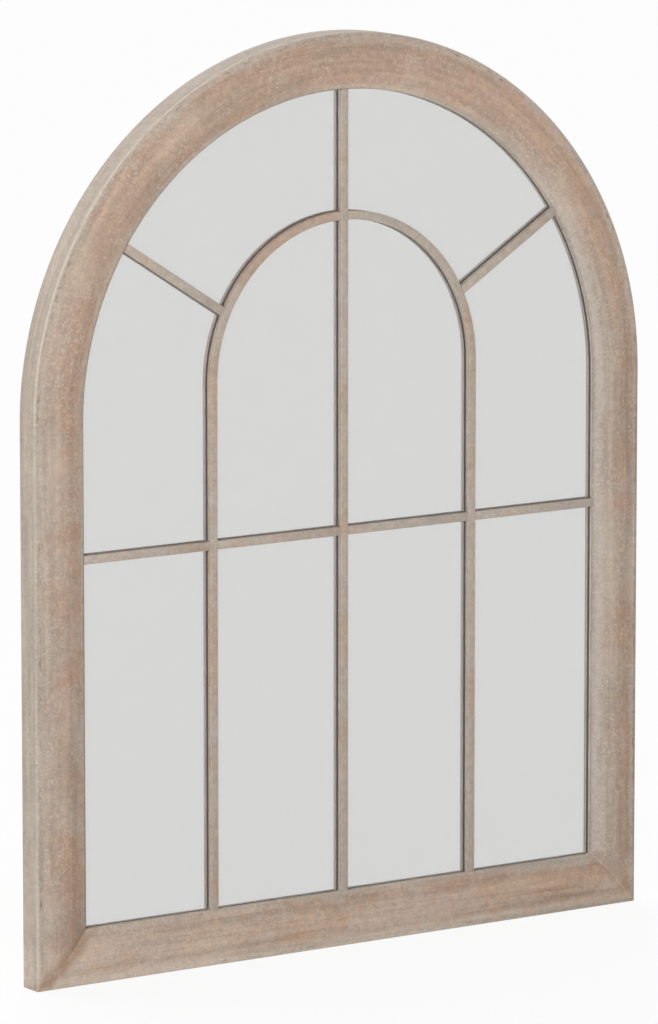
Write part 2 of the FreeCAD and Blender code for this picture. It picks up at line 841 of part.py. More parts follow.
strap_screws = []
strap_screw_holes = []
for index, drop in enumerate((-size("strap_first_screw"), strap_end)):
    screw = repeat(f"strap_screw_{index}", screw_master)
    strap_screws.append(place(screw, hanger_x, strap_thickness, hanger_z + drop, ACROSS, as_size(-90)))
    hole = repeat(f"strap_hole_{index}", screw_hole_master)
    strap_screw_holes.append(place(hole, hanger_x, ZERO, hanger_z + drop, ACROSS, as_size(90)))
right_strap_screws = group("right_strap_screws", strap_screws)
left_strap_screws = mirrored("left_strap_screws", right_strap_screws)
hanger_screws = group("hanger_screws", [right_strap_screws, left_strap_screws])

right_hanger_ring = new_body("right_hanger_ring")
ring_half = (size("ring_inner_width") + size("ring_wire")) / 2
ring_corner = size("ring_corner")
bow_centre = -ring_corner - size("ring_side")
ring_path = [
    (ZERO, ZERO),
    (ring_half - ring_corner, ZERO, (0, ring_half - ring_corner, -1)),
    (ring_half, -ring_corner),
    (ring_half, bow_centre, (1, bow_centre, -1)),
    (-ring_half, bow_centre),
    (-ring_half, -ring_corner, (0, ring_corner - ring_half, -1)),
    (ring_corner - ring_half, ZERO),
]
ring_spine = new_sketch(right_hanger_ring, "path", "XZ_Plane", [ring_path])
wire_outline = polygon(size("ring_wire") / 2, SMALL_SIDES)
ring_section = new_sketch(right_hanger_ring, "wire", "YZ_Plane", [wire_outline])
ring_sweep = right_hanger_ring.newObject("PartDesign::AdditivePipe", "ring_sweep")
ring_sweep.Profile = ring_section
ring_sweep.Spine = (ring_spine, [f"Edge{index + 1}" for index in range(len(ring_path))])
place(right_hanger_ring, x=hanger_x, y=size("eye_standoff"), z=hanger_z)
left_hanger_ring = mirrored("left_hanger_ring", right_hanger_ring)


# Finished frame members: the blanks less every spline slot, screw hole and tongue slot.

right_hand_cuts = group("right_hand_cuts", [right_spline_slots, right_holes, *strap_screw_holes,
                                            transom_slot, mullion_slot, radial_slot])
frame_cuts = group("frame_cuts", [right_hand_cuts, mirrored("left_hand_cuts", right_hand_cuts),
                                  middle_holes, centre_foot_slot, centre_head_slot])
bottom_rail = boolean("Part::Cut", "bottom_rail", bottom_rail_body, frame_cuts)
right_stile = boolean("Part::Cut", "right_stile", right_stile_body, frame_cuts)
arch_right_segment = boolean("Part::Cut", "arch_right_segment", arch_right_body, frame_cuts)
arch_crown_segment = boolean("Part::Cut", "arch_crown_segment", arch_crown_body, frame_cuts)
left_stile = mirrored("left_stile", right_stile)
arch_left_segment = mirrored("arch_left_segment", arch_right_segment)

NODES = (
    bottom_rail, left_stile, right_stile, arch_left_segment, arch_crown_segment, arch_right_segment,
    joint_splines, centre_mullion, left_mullion, right_mullion, inner_arch_head, transom_bar,
    left_radial_bar, right_radial_bar, mirror_glass, mirror_silvering, backing_board,
    retaining_clips, clip_screws, left_hanger_strap, right_hanger_strap, hanger_screws,
    left_hanger_ring, right_hanger_ring,
)

doc.recompute()
faults = [item.Name for item in doc.Objects if "Invalid" in item.State or "Error" in item.State]
faults += [node.Label for node in NODES if node.Shape.isNull() or not node.Shape.isValid()]
if faults:
    raise RuntimeError("objects failed: " + ", ".join(faults))

os.makedirs("parts", exist_ok=True)
for node in NODES:
    node.Shape.exportStep(f"parts/{node.Label}.step")
    print(f"{node.Label}: {len(node.Shape.Solids)} solids, {node.Shape.Volume / 1000:.2f} cm3")
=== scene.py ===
"""Looks of an arched window-pane wall mirror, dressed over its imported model.

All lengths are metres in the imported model's frame: the wall plane is y = 0, the face looks along -Y,
+Z is up, and the origin is at the middle of the bottom edge.
"""
import json
import logging
import math
from contextlib import contextmanager
from dataclasses import dataclass
from enum import Enum
from typing import Callable, Iterator, Sequence

import bmesh
import bpy
from mathutils import Matrix, Vector


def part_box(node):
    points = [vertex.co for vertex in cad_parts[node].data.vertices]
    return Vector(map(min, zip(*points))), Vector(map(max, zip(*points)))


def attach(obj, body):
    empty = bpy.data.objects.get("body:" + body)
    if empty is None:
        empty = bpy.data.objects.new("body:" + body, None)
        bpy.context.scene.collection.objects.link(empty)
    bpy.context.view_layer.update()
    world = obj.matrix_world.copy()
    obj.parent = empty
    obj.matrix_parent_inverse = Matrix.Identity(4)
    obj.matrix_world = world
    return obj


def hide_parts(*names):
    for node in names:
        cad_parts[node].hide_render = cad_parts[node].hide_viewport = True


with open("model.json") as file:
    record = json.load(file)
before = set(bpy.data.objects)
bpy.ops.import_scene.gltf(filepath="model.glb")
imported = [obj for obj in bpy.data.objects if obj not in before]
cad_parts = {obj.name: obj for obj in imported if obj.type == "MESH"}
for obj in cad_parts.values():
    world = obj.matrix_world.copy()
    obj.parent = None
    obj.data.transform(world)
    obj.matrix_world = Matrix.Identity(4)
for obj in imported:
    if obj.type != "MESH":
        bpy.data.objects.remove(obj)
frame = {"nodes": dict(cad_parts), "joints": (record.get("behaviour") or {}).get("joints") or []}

LOG = logging.getLogger("arched_mirror")
FRAME_BODY = "frame"
RUN = "run"
BARE = "bare"
PRIMED = "primed"
FLANK = "flank"
AXIS_X = Vector((1.0, 0.0, 0.0))
AXIS_Y = Vector((0.0, 1.0, 0.0))
AXIS_Z = Vector((0.0, 0.0, 1.0))
# Points closer than this are one point, and faces closer than these lie in the same plane.
MERGE_DISTANCE = 1e-6
DEPTH_SLACK = 1e-4
WALL_SLACK = 1e-3
# Faces flatter to each other than this are made one, and a normal with more y than this looks back.
FLAT_ANGLE = math.radians(0.3)
FACING_BACK = 0.5
# Size of the plane that an outline is drawn from. It is merged to a point first.
SEED_SIZE = 0.01
# Rounding of edges that are sharper than the angle.
BEVEL_SEGMENTS = 2
BEVEL_ANGLE = math.radians(30)
# Sockets of the Mix node that belong to colours.
COLOUR_MIX_INPUTS = (0, 6, 7)
COLOUR_MIX_OUTPUT = 2
Colour = tuple[float, float, float, float]
Place = tuple[float, float]
Place3 = tuple[float, float, float]
Socket = bpy.types.NodeSocket
Node = bpy.types.Node
Material = bpy.types.Material
Piece = bpy.types.Object
Polygon = bpy.types.MeshPolygon


class Side(Enum):
    """The two halves of the mirror, by the sign of x."""

    LEFT = -1
    RIGHT = 1

    @property
    def label(self) -> str:
        """The word that node names start with."""
        return self.name.lower()


def srgb(red: int, green: int, blue: int) -> Colour:
    """Turn a display colour into a linear one.

    Args:
        red: Red, 0 to 255.
        green: Green, 0 to 255.
        blue: Blue, 0 to 255.

    Returns:
        The linear colour with full alpha.
    """
    linear = []
    for level in (red, green, blue):
        share = level / 255
        linear.append(share / 12.92 if share <= 0.04045 else ((share + 0.055) / 1.055) ** 2.4)
    return (*linear, 1.0)


def deselect() -> None:
    """Leave nothing selected, so that an operator acts on the new piece alone."""
    bpy.ops.object.select_all(action="DESELECT")


def activate(piece: Piece) -> None:
    """Select one piece and make it the active one."""
    deselect()
    piece.select_set(True)
    bpy.context.view_layer.objects.active = piece


@contextmanager
def editing(piece: Piece, kind: str = "VERT") -> Iterator[None]:
    """Hold a piece in edit mode, with all of it selected.

    Args:
        piece: The piece to edit.
        kind: What is selected there: VERT, EDGE or FACE.
    """
    activate(piece)
    bpy.ops.object.mode_set(mode="EDIT")
    bpy.ops.mesh.select_mode(type=kind)
    bpy.ops.mesh.select_all(action="SELECT")
    try:
        yield
    finally:
        bpy.ops.object.mode_set(mode="OBJECT")


def extrude(travel: Vector) -> None:
    """Draw what is selected out along a straight way."""
    bpy.ops.mesh.extrude_region_move(TRANSFORM_OT_translate={"value": travel})


def place_primitive(name: str) -> Piece:
    """Name the primitive just added, and apply its place, turn and scale to its mesh."""
    piece = bpy.context.object
    piece.name = name
    bpy.ops.object.transform_apply(location=True, rotation=True, scale=True)
    return piece


def link_new(name: str, data: bpy.types.ID) -> Piece:
    """Put a new object with the given mesh, lamp or lens into the scene."""
    made = bpy.data.objects.new(name, data)
    bpy.context.scene.collection.objects.link(made)
    return made


def select_points(piece: Piece, wanted: Callable[[Vector], bool]) -> None:
    """Select the vertices at certain places, and the edges and faces between them.

    Args:
        piece: The piece, in edit mode.
        wanted: Tells from a place whether its vertex is selected.
    """
    bpy.ops.mesh.select_all(action="DESELECT")
    mesh = bmesh.from_edit_mesh(piece.data)
    for vertex in mesh.verts:
        if wanted(vertex.co):
            vertex.select_set(True)
    mesh.select_flush(True)
    bmesh.update_edit_mesh(piece.data)


def apply_modifiers(piece: Piece) -> None:
    """Apply all of a piece's modifiers in order."""
    activate(piece)
    for modifier in list(piece.modifiers):
        bpy.ops.object.modifier_apply(modifier=modifier.name)


def add_bevel(piece: Piece, width: float) -> None:
    """Round a piece's sharp edges.

    Args:
        piece: The piece to round.
        width: Width of the rounding.
    """
    bevel = piece.modifiers.new("edges", "BEVEL")
    bevel.width = width
    bevel.segments = BEVEL_SEGMENTS
    bevel.limit_method = "ANGLE"
    bevel.angle_limit = BEVEL_ANGLE
    apply_modifiers(piece)


def smooth(piece: Piece, angle: float = 32.0) -> None:
    """Shade a piece smooth across edges flatter than an angle in degrees."""
    activate(piece)
    bpy.ops.object.shade_smooth_by_angle(angle=math.radians(angle))


def tidy_faces(piece: Piece, flatten: bool = False) -> None:
    """Merge doubled points, make flat faces whole if that is asked for, and turn all faces outwards."""
    with editing(piece):
        bpy.ops.mesh.remove_doubles(threshold=MERGE_DISTANCE)
        if flatten:
            bpy.ops.mesh.dissolve_limited(angle_limit=FLAT_ANGLE)
        bpy.ops.mesh.normals_make_consistent(inside=False)


def open_edges(piece: Piece) -> int:
    """Count the edges of a piece that don't join exactly two faces."""
    mesh = bmesh.new()
    mesh.from_mesh(piece.data)
    count = sum(1 for edge in mesh.edges if not edge.is_manifold)
    mesh.free()
    return count


def trace_outline(name: str, corners: Sequence[Vector]) -> Piece:
    """Draw a closed flat outline corner by corner and fill it.

    Args:
        name: Name of the new piece.
        corners: The outline's corners in order.

    Returns:
        A new object with one face.
    """
    deselect()
    bpy.ops.mesh.primitive_plane_add(size=SEED_SIZE)
    piece = place_primitive(name)
    with editing(piece):
        bpy.ops.mesh.merge(type="CENTER")
        bpy.ops.transform.translate(value=corners[0])
        for before, after in zip(corners, corners[1:]):
            extrude(after - before)
        bpy.ops.mesh.select_all(action="SELECT")
        bpy.ops.mesh.edge_face_add()
    return piece


def sloped_arc(start: Place, first: float, last: float, run: float, steps: int) -> list[Place]:
    """Points along an arc given by its slopes, without the first.

    Args:
        start: Where the arc starts.
        first: Slope angle there.
        last: Slope angle at its end.
        run: How far it goes inwards.
        steps: How many points follow the start.

    Returns:
        The points, the last of them at the end.
    """
    radius = run / (math.sin(last) - math.sin(first))
    points = []
    for step in range(1, steps + 1):
        angle = first + (last - first) * step / steps
        points.append((start[0] + radius * (math.sin(angle) - math.sin(first)),
                       start[1] + radius * (math.cos(first) - math.cos(angle))))
    return points


def copy_node(node: str) -> Piece:
    """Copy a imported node's mesh into a new piece at the origin, with its flat faces whole."""
    piece = link_new(f"{node}_dressed", frame["nodes"][node].data.copy())
    tidy_faces(piece, flatten=True)
    return piece


def mark_faces(piece: Piece, name: str, share: Callable[[Polygon], float]) -> None:
    """Store a number on each face for the piece's material.

    Args:
        piece: The piece.
        name: Name of the attribute.
        share: Gives a face's number.
    """
    marks = piece.data.attributes.new(name, "FLOAT", "FACE")
    for polygon, mark in zip(piece.data.polygons, marks.data):
        mark.value = float(share(polygon))


def settle(piece: Piece, material: Material, body: str, slot: str, *nodes: str) -> None:
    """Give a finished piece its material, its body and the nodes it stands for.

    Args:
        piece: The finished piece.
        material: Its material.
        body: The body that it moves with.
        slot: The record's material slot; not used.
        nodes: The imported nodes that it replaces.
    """
    piece.data.materials.clear()
    piece.data.materials.append(material)
    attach(piece, body)
    if nodes:
        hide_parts(*nodes)
    LOG.info("%s: %d faces, %d open edges", piece.name, len(piece.data.polygons), open_edges(piece))


def dress_node(node: str, material: Material) -> None:
    """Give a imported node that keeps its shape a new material."""
    mesh = frame["nodes"][node].data
    mesh.materials.clear()
    mesh.materials.append(material)
    LOG.info("%s: kept, %d faces", node, len(mesh.polygons))


@dataclass(frozen=True)
class Layout:
    """Main places of the mirror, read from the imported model."""

    half_width: float
    spring: float
    face_width: float
    crown: float
    lip_front: float
    glass_front: float

    @classmethod
    def from_frame(cls) -> "Layout":
        """Read the places from the nodes' boxes."""
        rail_low, rail_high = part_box("bottom_rail")
        bar_low, bar_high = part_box("transom_bar")
        return cls(half_width=rail_high.x, spring=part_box("right_stile")[1].z, face_width=rail_high.z,
                   crown=-rail_low.y, lip_front=-bar_low.y, glass_front=-bar_high.y)


class NodeBoard:
    """The nodes of a material or of the surround, with short calls to add and join them."""

    def __init__(self, owner: Material | bpy.types.World) -> None:
        """Start with no nodes."""
        self.owner = owner
        owner.use_nodes = True
        self.tree = owner.node_tree
        self.tree.nodes.clear()

    @classmethod
    def new(cls, name: str) -> "NodeBoard":
        """The nodes of a new material."""
        return cls(bpy.data.materials.new(name))

    def feed(self, socket: Socket, value: object) -> None:
        """Join a socket to another one, or set its own value."""
        if isinstance(value, Socket):
            self.tree.links.new(value, socket)
        else:
            socket.default_value = value

    def node(self, kind: str, **inputs: object) -> Node:
        """Add a node and feed its inputs, named with _ for a space."""
        made = self.tree.nodes.new(kind)
        for name, value in inputs.items():
            self.feed(made.inputs[name.replace("_", " ")], value)
        return made

    def object_place(self) -> Socket:
        """The surface point in the object's own coordinates."""
        return self.node("ShaderNodeTexCoord").outputs["Object"]

    def attribute(self, name: str, output: str = "Fac") -> Socket:
        """One of the mesh's own attributes."""
        made = self.node("ShaderNodeAttribute")
        made.attribute_name = name
        return made.outputs[output]

    def split(self, vector: Socket) -> tuple[Socket, ...]:
        """The three parts of a vector."""
        return tuple(self.node("ShaderNodeSeparateXYZ", Vector=vector).outputs)

    def noise(self, vector: Socket, scale: float, detail: float = 3.0, rough: float = 0.6) -> Socket:
        """Cloudy noise from 0 to 1."""
        return self.node("ShaderNodeTexNoise", Vector=vector, Scale=scale, Detail=detail,
                         Roughness=rough).outputs[0]

    def grain(self, vector: Socket, scale: Place3, detail: float = 4.0, rough: float = 0.6) -> Socket:
        """Noise with a scale of its own along each axis."""
        drawn = self.node("ShaderNodeMapping", Vector=vector, Scale=scale).outputs[0]
        return self.noise(drawn, 1.0, detail, rough)

    def vector_math(self, operation: str, *values: object) -> Node:
        """One sum of vectors, its values fed in order."""
        made = self.node("ShaderNodeVectorMath")
        made.operation = operation
        for socket, value in zip(made.inputs, values):
            self.feed(socket, value)
        return made

    def shake(self, vector: Socket, scale: float, amount: float) -> Socket:
        """A vector moved about by noise."""
        noise = self.node("ShaderNodeTexNoise", Vector=vector, Scale=scale).outputs["Color"]
        return self.vector_math("MULTIPLY_ADD", noise, (amount, amount, amount), vector).outputs[0]

    def math(self, operation: str, first: object, second: object = 0.0, clamp: bool = False) -> Socket:
        """One sum of two values."""
        made = self.node("ShaderNodeMath")
        made.operation = operation
        made.use_clamp = clamp
        self.feed(made.inputs[0], first)
        self.feed(made.inputs[1], second)
        return made.outputs[0]

    def times(self, product: object, *others: object) -> Socket:
        """All the values multiplied."""
        for other in others:
            product = self.math("MULTIPLY", product, other)
        return product

    def fade(self, value: object, low: float, high: float, start: object = 0.0, end: object = 1.0) -> Socket:
        """A soft step from start to end while the value goes from low to high."""
        made = self.node("ShaderNodeMapRange", Value=value, From_Min=low, From_Max=high, To_Min=start,
                         To_Max=end)
        made.interpolation_type = "SMOOTHSTEP"
        return made.outputs[0]

    def band(self, value: Socket, centre: object, half: float) -> Socket:
        """One at the centre, fading to nothing at the half width on both sides."""
        away = self.math("ABSOLUTE", self.math("SUBTRACT", value, centre))
        return self.fade(away, 0.0, half, 1.0, 0.0)

    def mix(self, share: object, first: object, second: object) -> Socket:
        """The first colour turning into the second."""
        made = self.node("ShaderNodeMix")
        made.data_type = "RGBA"
        for index, value in zip(COLOUR_MIX_INPUTS, (share, first, second)):
            self.feed(made.inputs[index], value)
        return made.outputs[COLOUR_MIX_OUTPUT]

    def scale_colour(self, colour: object, factor: object) -> Socket:
        """A colour made lighter or darker by a factor."""
        made = self.vector_math("SCALE", colour)
        self.feed(made.inputs["Scale"], factor)
        return made.outputs[0]

    def bump(self, height: Socket, distance: float) -> Socket:
        """A surface normal from a height."""
        return self.node("ShaderNodeBump", Height=height, Distance=distance, Strength=1.0).outputs[0]

    def blend(self, share: object, first: Node, second: Node) -> Node:
        """The first shader turning into the second."""
        made = self.node("ShaderNodeMixShader")
        for socket, value in zip(made.inputs, (share, first.outputs[0], second.outputs[0])):
            self.feed(socket, value)
        return made

    def by_ray(self, lit: Node, seen: Node, mirrored: Node) -> Socket:
        """One shader for the light, one for the camera, and one for what shows in mirror, metal and glass."""
        path = self.node("ShaderNodeLightPath").outputs
        gloss = self.math("MAXIMUM", path["Is Glossy Ray"], path["Is Transmission Ray"])
        return self.blend(gloss, self.blend(path["Is Camera Ray"], lit, seen), mirrored).outputs[0]

    def finish(self, **inputs: object) -> Material:
        """Feed the surface shader and return the material."""
        shader = self.node("ShaderNodeBsdfPrincipled", **inputs)
        self.node("ShaderNodeOutputMaterial", Surface=shader.outputs[0])
        return self.owner


@dataclass(frozen=True)
class WornPaint:
    """Sand-coloured wash over timber: greyer on the edges, brown and orange in the middle of the face."""

    greige: Colour = srgb(178, 164, 151)
    brown: Colour = srgb(173, 149, 130)
    orange: Colour = srgb(183, 153, 130)
    pink: Colour = srgb(183, 151, 132)
    pale: Colour = srgb(211, 197, 181)
    chalk: Colour = srgb(191, 182, 173)
    bar_grey: Colour = srgb(183, 170, 158)
    primer: Colour = srgb(232, 228, 220)
    stain: Colour = srgb(124, 103, 86)
    mitre: Colour = srgb(156, 126, 102)
    timber: Colour = srgb(196, 164, 122)
    timber_dark: Colour = srgb(160, 124, 84)
    roughness: float = 0.68

    def for_frame(self, layout: Layout) -> Material:
        """The paint of the moulded frame."""
        return FrameCoats(self, layout).material()

    def for_bars(self, layout: Layout) -> Material:
        """The greyer paint of the glazing bars."""
        return BarCoats("bar_paint", self, layout, self.bar_grey).material()


class Coats(NodeBoard):
    """Coats of the wash on one kind of piece, laid one over the other."""

    def __init__(self, name: str, paint: WornPaint, layout: Layout, ground: Colour) -> None:
        """Start with the ground colour alone.

        Args:
            name: Name of the material.
            paint: The colours of the wash.
            layout: Main places of the mirror.
            ground: Colour of the first coat.
        """
        super().__init__(bpy.data.materials.new(name))
        self.paint = paint
        self.layout = layout
        self.colour: object = ground
        self.place = self.object_place()
        self.right, self.depth, self.up = self.split(self.place)
        self.pale, self.mottle = self.speckle()

    def speckle(self) -> tuple[Socket, Socket]:
        """Fine marks of the dabbed and rubbed wash.

        Returns:
            The share of pale marks, and a factor for light and dark grain.
        """
        fine = self.noise(self.place, 430.0, 2.0)
        clusters = self.fade(self.noise(self.place, 27.0), 0.44, 0.6, 0.28, 1.0)
        cells = self.node("ShaderNodeTexVoronoi", Vector=self.shake(self.place, 260.0, 0.007), Scale=150.0)
        dots = self.fade(cells.outputs["Distance"], 0.08, 0.3, 1.0, 0.0)
        dabs = self.times(self.fade(fine, 0.52, 0.66), 0.8)
        pale = self.times(self.math("MAXIMUM", dabs, dots), clusters)
        coarse = self.noise(self.place, 150.0, 3.0, 0.65)
        mottle = self.math("ADD", self.times(coarse, 0.6), self.times(fine, 0.4))
        return pale, self.fade(mottle, 0.34, 0.66, 0.86, 1.06)

    def cover(self, share: object, colour: object) -> None:
        """Lay a share of a colour over the coats so far."""
        self.colour = self.mix(share, self.colour, colour)

    def shade(self, factor: object) -> None:
        """Make the coats so far lighter or darker."""
        self.colour = self.scale_colour(self.colour, factor)

    def relief(self, scale: float) -> Socket:
        """Height of the dabs on the uneven paint."""
        return self.math("ADD", self.times(self.pale, 0.6), self.noise(self.place, scale))

    def coated(self, height: Socket, distance: float) -> Material:
        """The material with all its coats and the relief."""
        return self.finish(Base_Color=self.colour, Roughness=self.paint.roughness,
                           Normal=self.bump(height, distance))


class FrameCoats(Coats):
    """The wash on the moulded frame, which follows the moulding's run.

    Places across the section are distances round the moulding from the front arris. RIGHT_HALF and TO_ARCH
    are the stretches over which a coat changes towards the right and up into the arch.
    """

    RIGHT_HALF: Place = (0.1, 0.3)
    TO_ARCH: Place = (0.45, 0.7)
    ARRIS: float = -0.0008
    BEAD: float = 0.0022
    GROOVE: float = 0.0040
    COVE: float = 0.0155
    INNER_BAND: float = 0.050

    def __init__(self, paint: WornPaint, layout: Layout) -> None:
        """Find each point's way round the moulding, and the middle of the face.

        Args:
            paint: The colours of the wash.
            layout: Main places of the mirror.
        """
        super().__init__("frame_paint", paint, layout, paint.greige)
        self.rightward, _, _ = self.split(self.node("ShaderNodeNewGeometry").outputs["Normal"])
        self.run = self.attribute(RUN, "Vector")
        _, self.girth, _ = self.split(self.run)
        wander = self.math("SUBTRACT", self.noise(self.place, 38.0, 4.0, 0.65), 0.5)
        self.across = self.math("ADD", self.girth, self.times(wander, 0.02))
        shift = self.math("MAXIMUM", self.fade(self.up, 0.5, 0.72, 0.0, 0.003),
                          self.fade(self.right, *self.RIGHT_HALF, 0.0, 0.002))
        outer = self.fade(self.math("ADD", self.across, shift), 0.005, 0.014)
        self.middle = self.times(outer, self.fade(self.across, 0.056, 0.047))

    def material(self) -> Material:
        """Lay the coats in order.

        Returns:
            The finished material.
        """
        self.wash()
        self.shade(self.body_tone())
        self.brush_marks()
        self.shade(self.mottle)
        flecks = self.fade(self.girth, -0.004, 0.0, 0.25, 0.5)
        self.cover(self.times(self.pale, flecks), self.paint.pale)
        self.groove_marks()
        self.mitre_marks()
        self.edges()
        return self.bare_timber()

    def wash(self) -> None:
        """Brown, orange and pink in the middle of the face, with more brown on slopes that face away from the
        lamp, which is painted shade.
        """
        paint = self.paint
        patches = self.fade(self.grain(self.run, (15.0, 34.0, 1.0)), 0.4, 0.66)
        warm = self.mix(patches, paint.brown, paint.orange)
        warm = self.mix(self.fade(self.noise(self.place, 19.0), 0.45, 0.64, 0.0, 0.7), warm, paint.pink)
        worn = self.fade(self.noise(self.place, 21.0, 5.0, 0.7), 0.4, 0.62,
                         self.fade(self.up, *self.TO_ARCH, 1.4, 1.0),
                         self.fade(self.up, *self.TO_ARCH, 0.45, 0.84))
        self.cover(self.times(self.middle, worn, self.brushing()), warm)

    def brushing(self) -> Socket:
        """Share of brown that shows: more brown on slopes that face right, away from the lamp, which is
        painted shade; less on slopes that face left, least on the right half, and more on the arch.

        Returns:
            The share.
        """
        # Painted shade: the brown share follows the surface's facing, highest where it faces right, away from
        # the lamp.
        leftward = self.fade(self.right, 0.0, 0.25, 0.4, 0.22)
        return self.math("MULTIPLY", self.fade(self.rightward, -0.3, 0.25, leftward, 1.12),
                         self.fade(self.up, 0.5, 0.82, 0.9, 2.0), clamp=True)

    def body_tone(self) -> Socket:
        """Factor for the wash: darker in the cove and lighter along the inner band, plus painted light:
        lighter on the foot, and on the arch lighter or darker by the way each slope faces.

        Returns:
            The factor.
        """
        cove_darker = self.times(self.band(self.across, self.COVE, 0.008), 0.06)
        inner_band_lighter = self.times(self.band(self.across, self.INNER_BAND, 0.006), 0.08)
        tone = self.math("ADD", 1.0, self.math("SUBTRACT", inner_band_lighter, cove_darker))
        # Painted light: the bottom rail is lighter, for the light that comes up from the floor.
        foot = self.times(self.fade(self.up, 0.03, 0.050, 1.2, 1.0),
                          self.fade(self.up, 0.009, 0.014, 1.07, 1.0))
        # Painted light and shade on the arch: slopes that face left are lighter and slopes that face right
        # darker, while right-facing slopes on the right half, which also face up, are lighter still.
        painted_light_right_arch = self.times(self.fade(self.rightward, -0.15, 0.2), self.fade(self.right, -0.05, 0.15))
        painted_light_by_facing = self.fade(self.rightward, -0.05, 0.2, 1.03, 0.97)
        arch = self.fade(self.up, 0.5, 0.75, 1.0, self.fade(painted_light_right_arch, 0.0, 1.0, painted_light_by_facing, 1.2))
        return self.times(tone, foot, arch)

    def brush_marks(self) -> None:
        """Streaks and brown drags along the run, pale clouds, and a paler, greyer inner band on the right
        half, which is painted light.
        """
        self.shade(self.fade(self.grain(self.run, (7.0, 150.0, 1.0)), 0.3, 0.7, 0.88, 1.12))
        drags = self.fade(self.grain(self.run, (6.0, 190.0, 1.0), 3.0, 0.55), 0.56, 0.68, 0.0, 0.5)
        on_rail = self.fade(self.up, 0.05, 0.09, 1.0, 0.3)
        self.cover(self.times(drags, self.middle, on_rail), self.paint.mitre)
        self.cover(self.fade(self.noise(self.place, 15.0, 2.0, 0.5), 0.5, 0.68, 0.0, 0.2), self.paint.pale)
        # Painted light: the inner band of the right half faces the lamp, so it is painted paler and greyer.
        painted_light_band = self.times(self.band(self.across, self.INNER_BAND, 0.008),
                            self.fade(self.right, *self.RIGHT_HALF, 0.0, 0.6))
        self.cover(painted_light_band, self.paint.chalk)

    def groove_marks(self) -> None:
        """Broken dark marks where the bead meets the cove, fainter on the rail."""
        marks = self.fade(self.grain(self.run, (90.0, 240.0, 1.0), 4.0, 0.7), 0.5, 0.6)
        where = self.fade(self.grain(self.run, (9.0, 9.0, 1.0), 2.0, 0.5), 0.42, 0.54)
        strength = self.fade(self.up, 0.01, 0.05, 0.45, 0.8)
        groove = self.band(self.girth, self.GROOVE, 0.0021)
        self.cover(self.times(groove, marks, where, strength), self.paint.stain)

    def mitre_marks(self) -> None:
        """Brown rubbed into the two mitres, and the filler that shows along the right one."""
        face = self.layout.face_width
        inset = self.math("SUBTRACT", self.layout.half_width, self.math("ABSOLUTE", self.right))
        off = self.math("SUBTRACT", inset, self.up)
        centre = self.fade(self.right, -0.1, 0.1, 0.003, -0.005)
        near = self.times(self.band(off, centre, 0.018), self.fade(self.right, -0.1, 0.1, 1.0, 0.6))
        low = self.fade(self.up, face, face * 1.1, 1.0, 0.0)
        rubbed = self.fade(self.noise(self.place, 70.0, 4.0, 0.65), 0.3, 0.56)
        self.cover(self.times(near, low, rubbed, 0.85), self.paint.mitre)
        outer = self.fade(self.up, face * 0.45, face * 0.65, 1.0, 0.15)
        seam = self.times(self.band(off, 0.0, 0.0016), outer, self.fade(self.right, 0.0, 0.1))
        self.cover(self.times(seam, low, 0.6), self.paint.pale)

    def edges(self) -> None:
        """The rubbed arris with a painted highlight, painted light and shade on the lip, and painted shade on
        the bead of the right half and on the side.
        """
        lip = self.layout.face_width
        # Pale rubbed wear on the arris, plus a painted highlight: stronger on the arch and on the left, where
        # the edge faces the lamp.
        rubbed = self.fade(self.noise(self.place, 90.0), 0.3, 0.55, 0.3, 0.85)
        arris = self.times(self.band(self.girth, self.ARRIS, 0.0022), rubbed,
                           self.fade(self.up, *self.TO_ARCH, 0.26, 1.0),
                           self.fade(self.right, 0.0, 0.3, 1.0, 0.25))
        self.cover(arris, self.paint.pale)
        # Painted light and shade on the lip: darker on its edge, lighter on the rail's edge, which faces up,
        # and lighter on its inner wall beside the glass, for the light the mirror would throw there.
        rim = self.fade(self.up, lip - 0.001, lip + 0.006, 1.2, 0.86)
        self.shade(self.times(self.fade(self.girth, lip - 0.002, lip, 1.0, rim),
                              self.fade(self.girth, lip, lip + 0.005, 1.0, 1.5)))
        # Painted shade: stain colour where the lip's edge faces right, away from the lamp.
        painted_lip_shade = self.times(self.fade(self.rightward, 0.1, 0.4, 0.0, 0.85),
                            self.fade(self.girth, lip - 0.0022, lip - 0.001))
        self.cover(painted_lip_shade, self.paint.stain)
        # Painted shade: the bead on the right half, which turns away from the lamp, is darker, and less so on
        # the arch.
        bead = self.times(self.band(self.girth, self.BEAD, 0.0026),
                          self.fade(self.right, *self.RIGHT_HALF, 0.0, 0.2),
                          self.fade(self.up, 0.48, 0.62, 1.0, 0.35))
        self.shade(self.math("SUBTRACT", 1.0, bead))
        # Painted shade: the outer side is a little darker.
        self.shade(self.fade(self.girth, -0.006, -0.002, 0.96, 1.0))

    def bare_timber(self) -> Material:
        """Leave the back and the rebate bare, and the rebate's floor primed.

        Returns:
            The finished material.
        """
        fibre = self.grain(self.run, (5.0, 220.0, 1.0))
        bare = self.attribute(BARE)
        self.cover(bare, self.mix(self.fade(fibre, 0.35, 0.7), self.paint.timber, self.paint.timber_dark))
        self.cover(self.attribute(PRIMED), self.paint.primer)
        height = self.fade(bare, 0.0, 1.0, self.relief(110.0), self.times(fibre, 0.5))
        return self.coated(height, 0.00022)


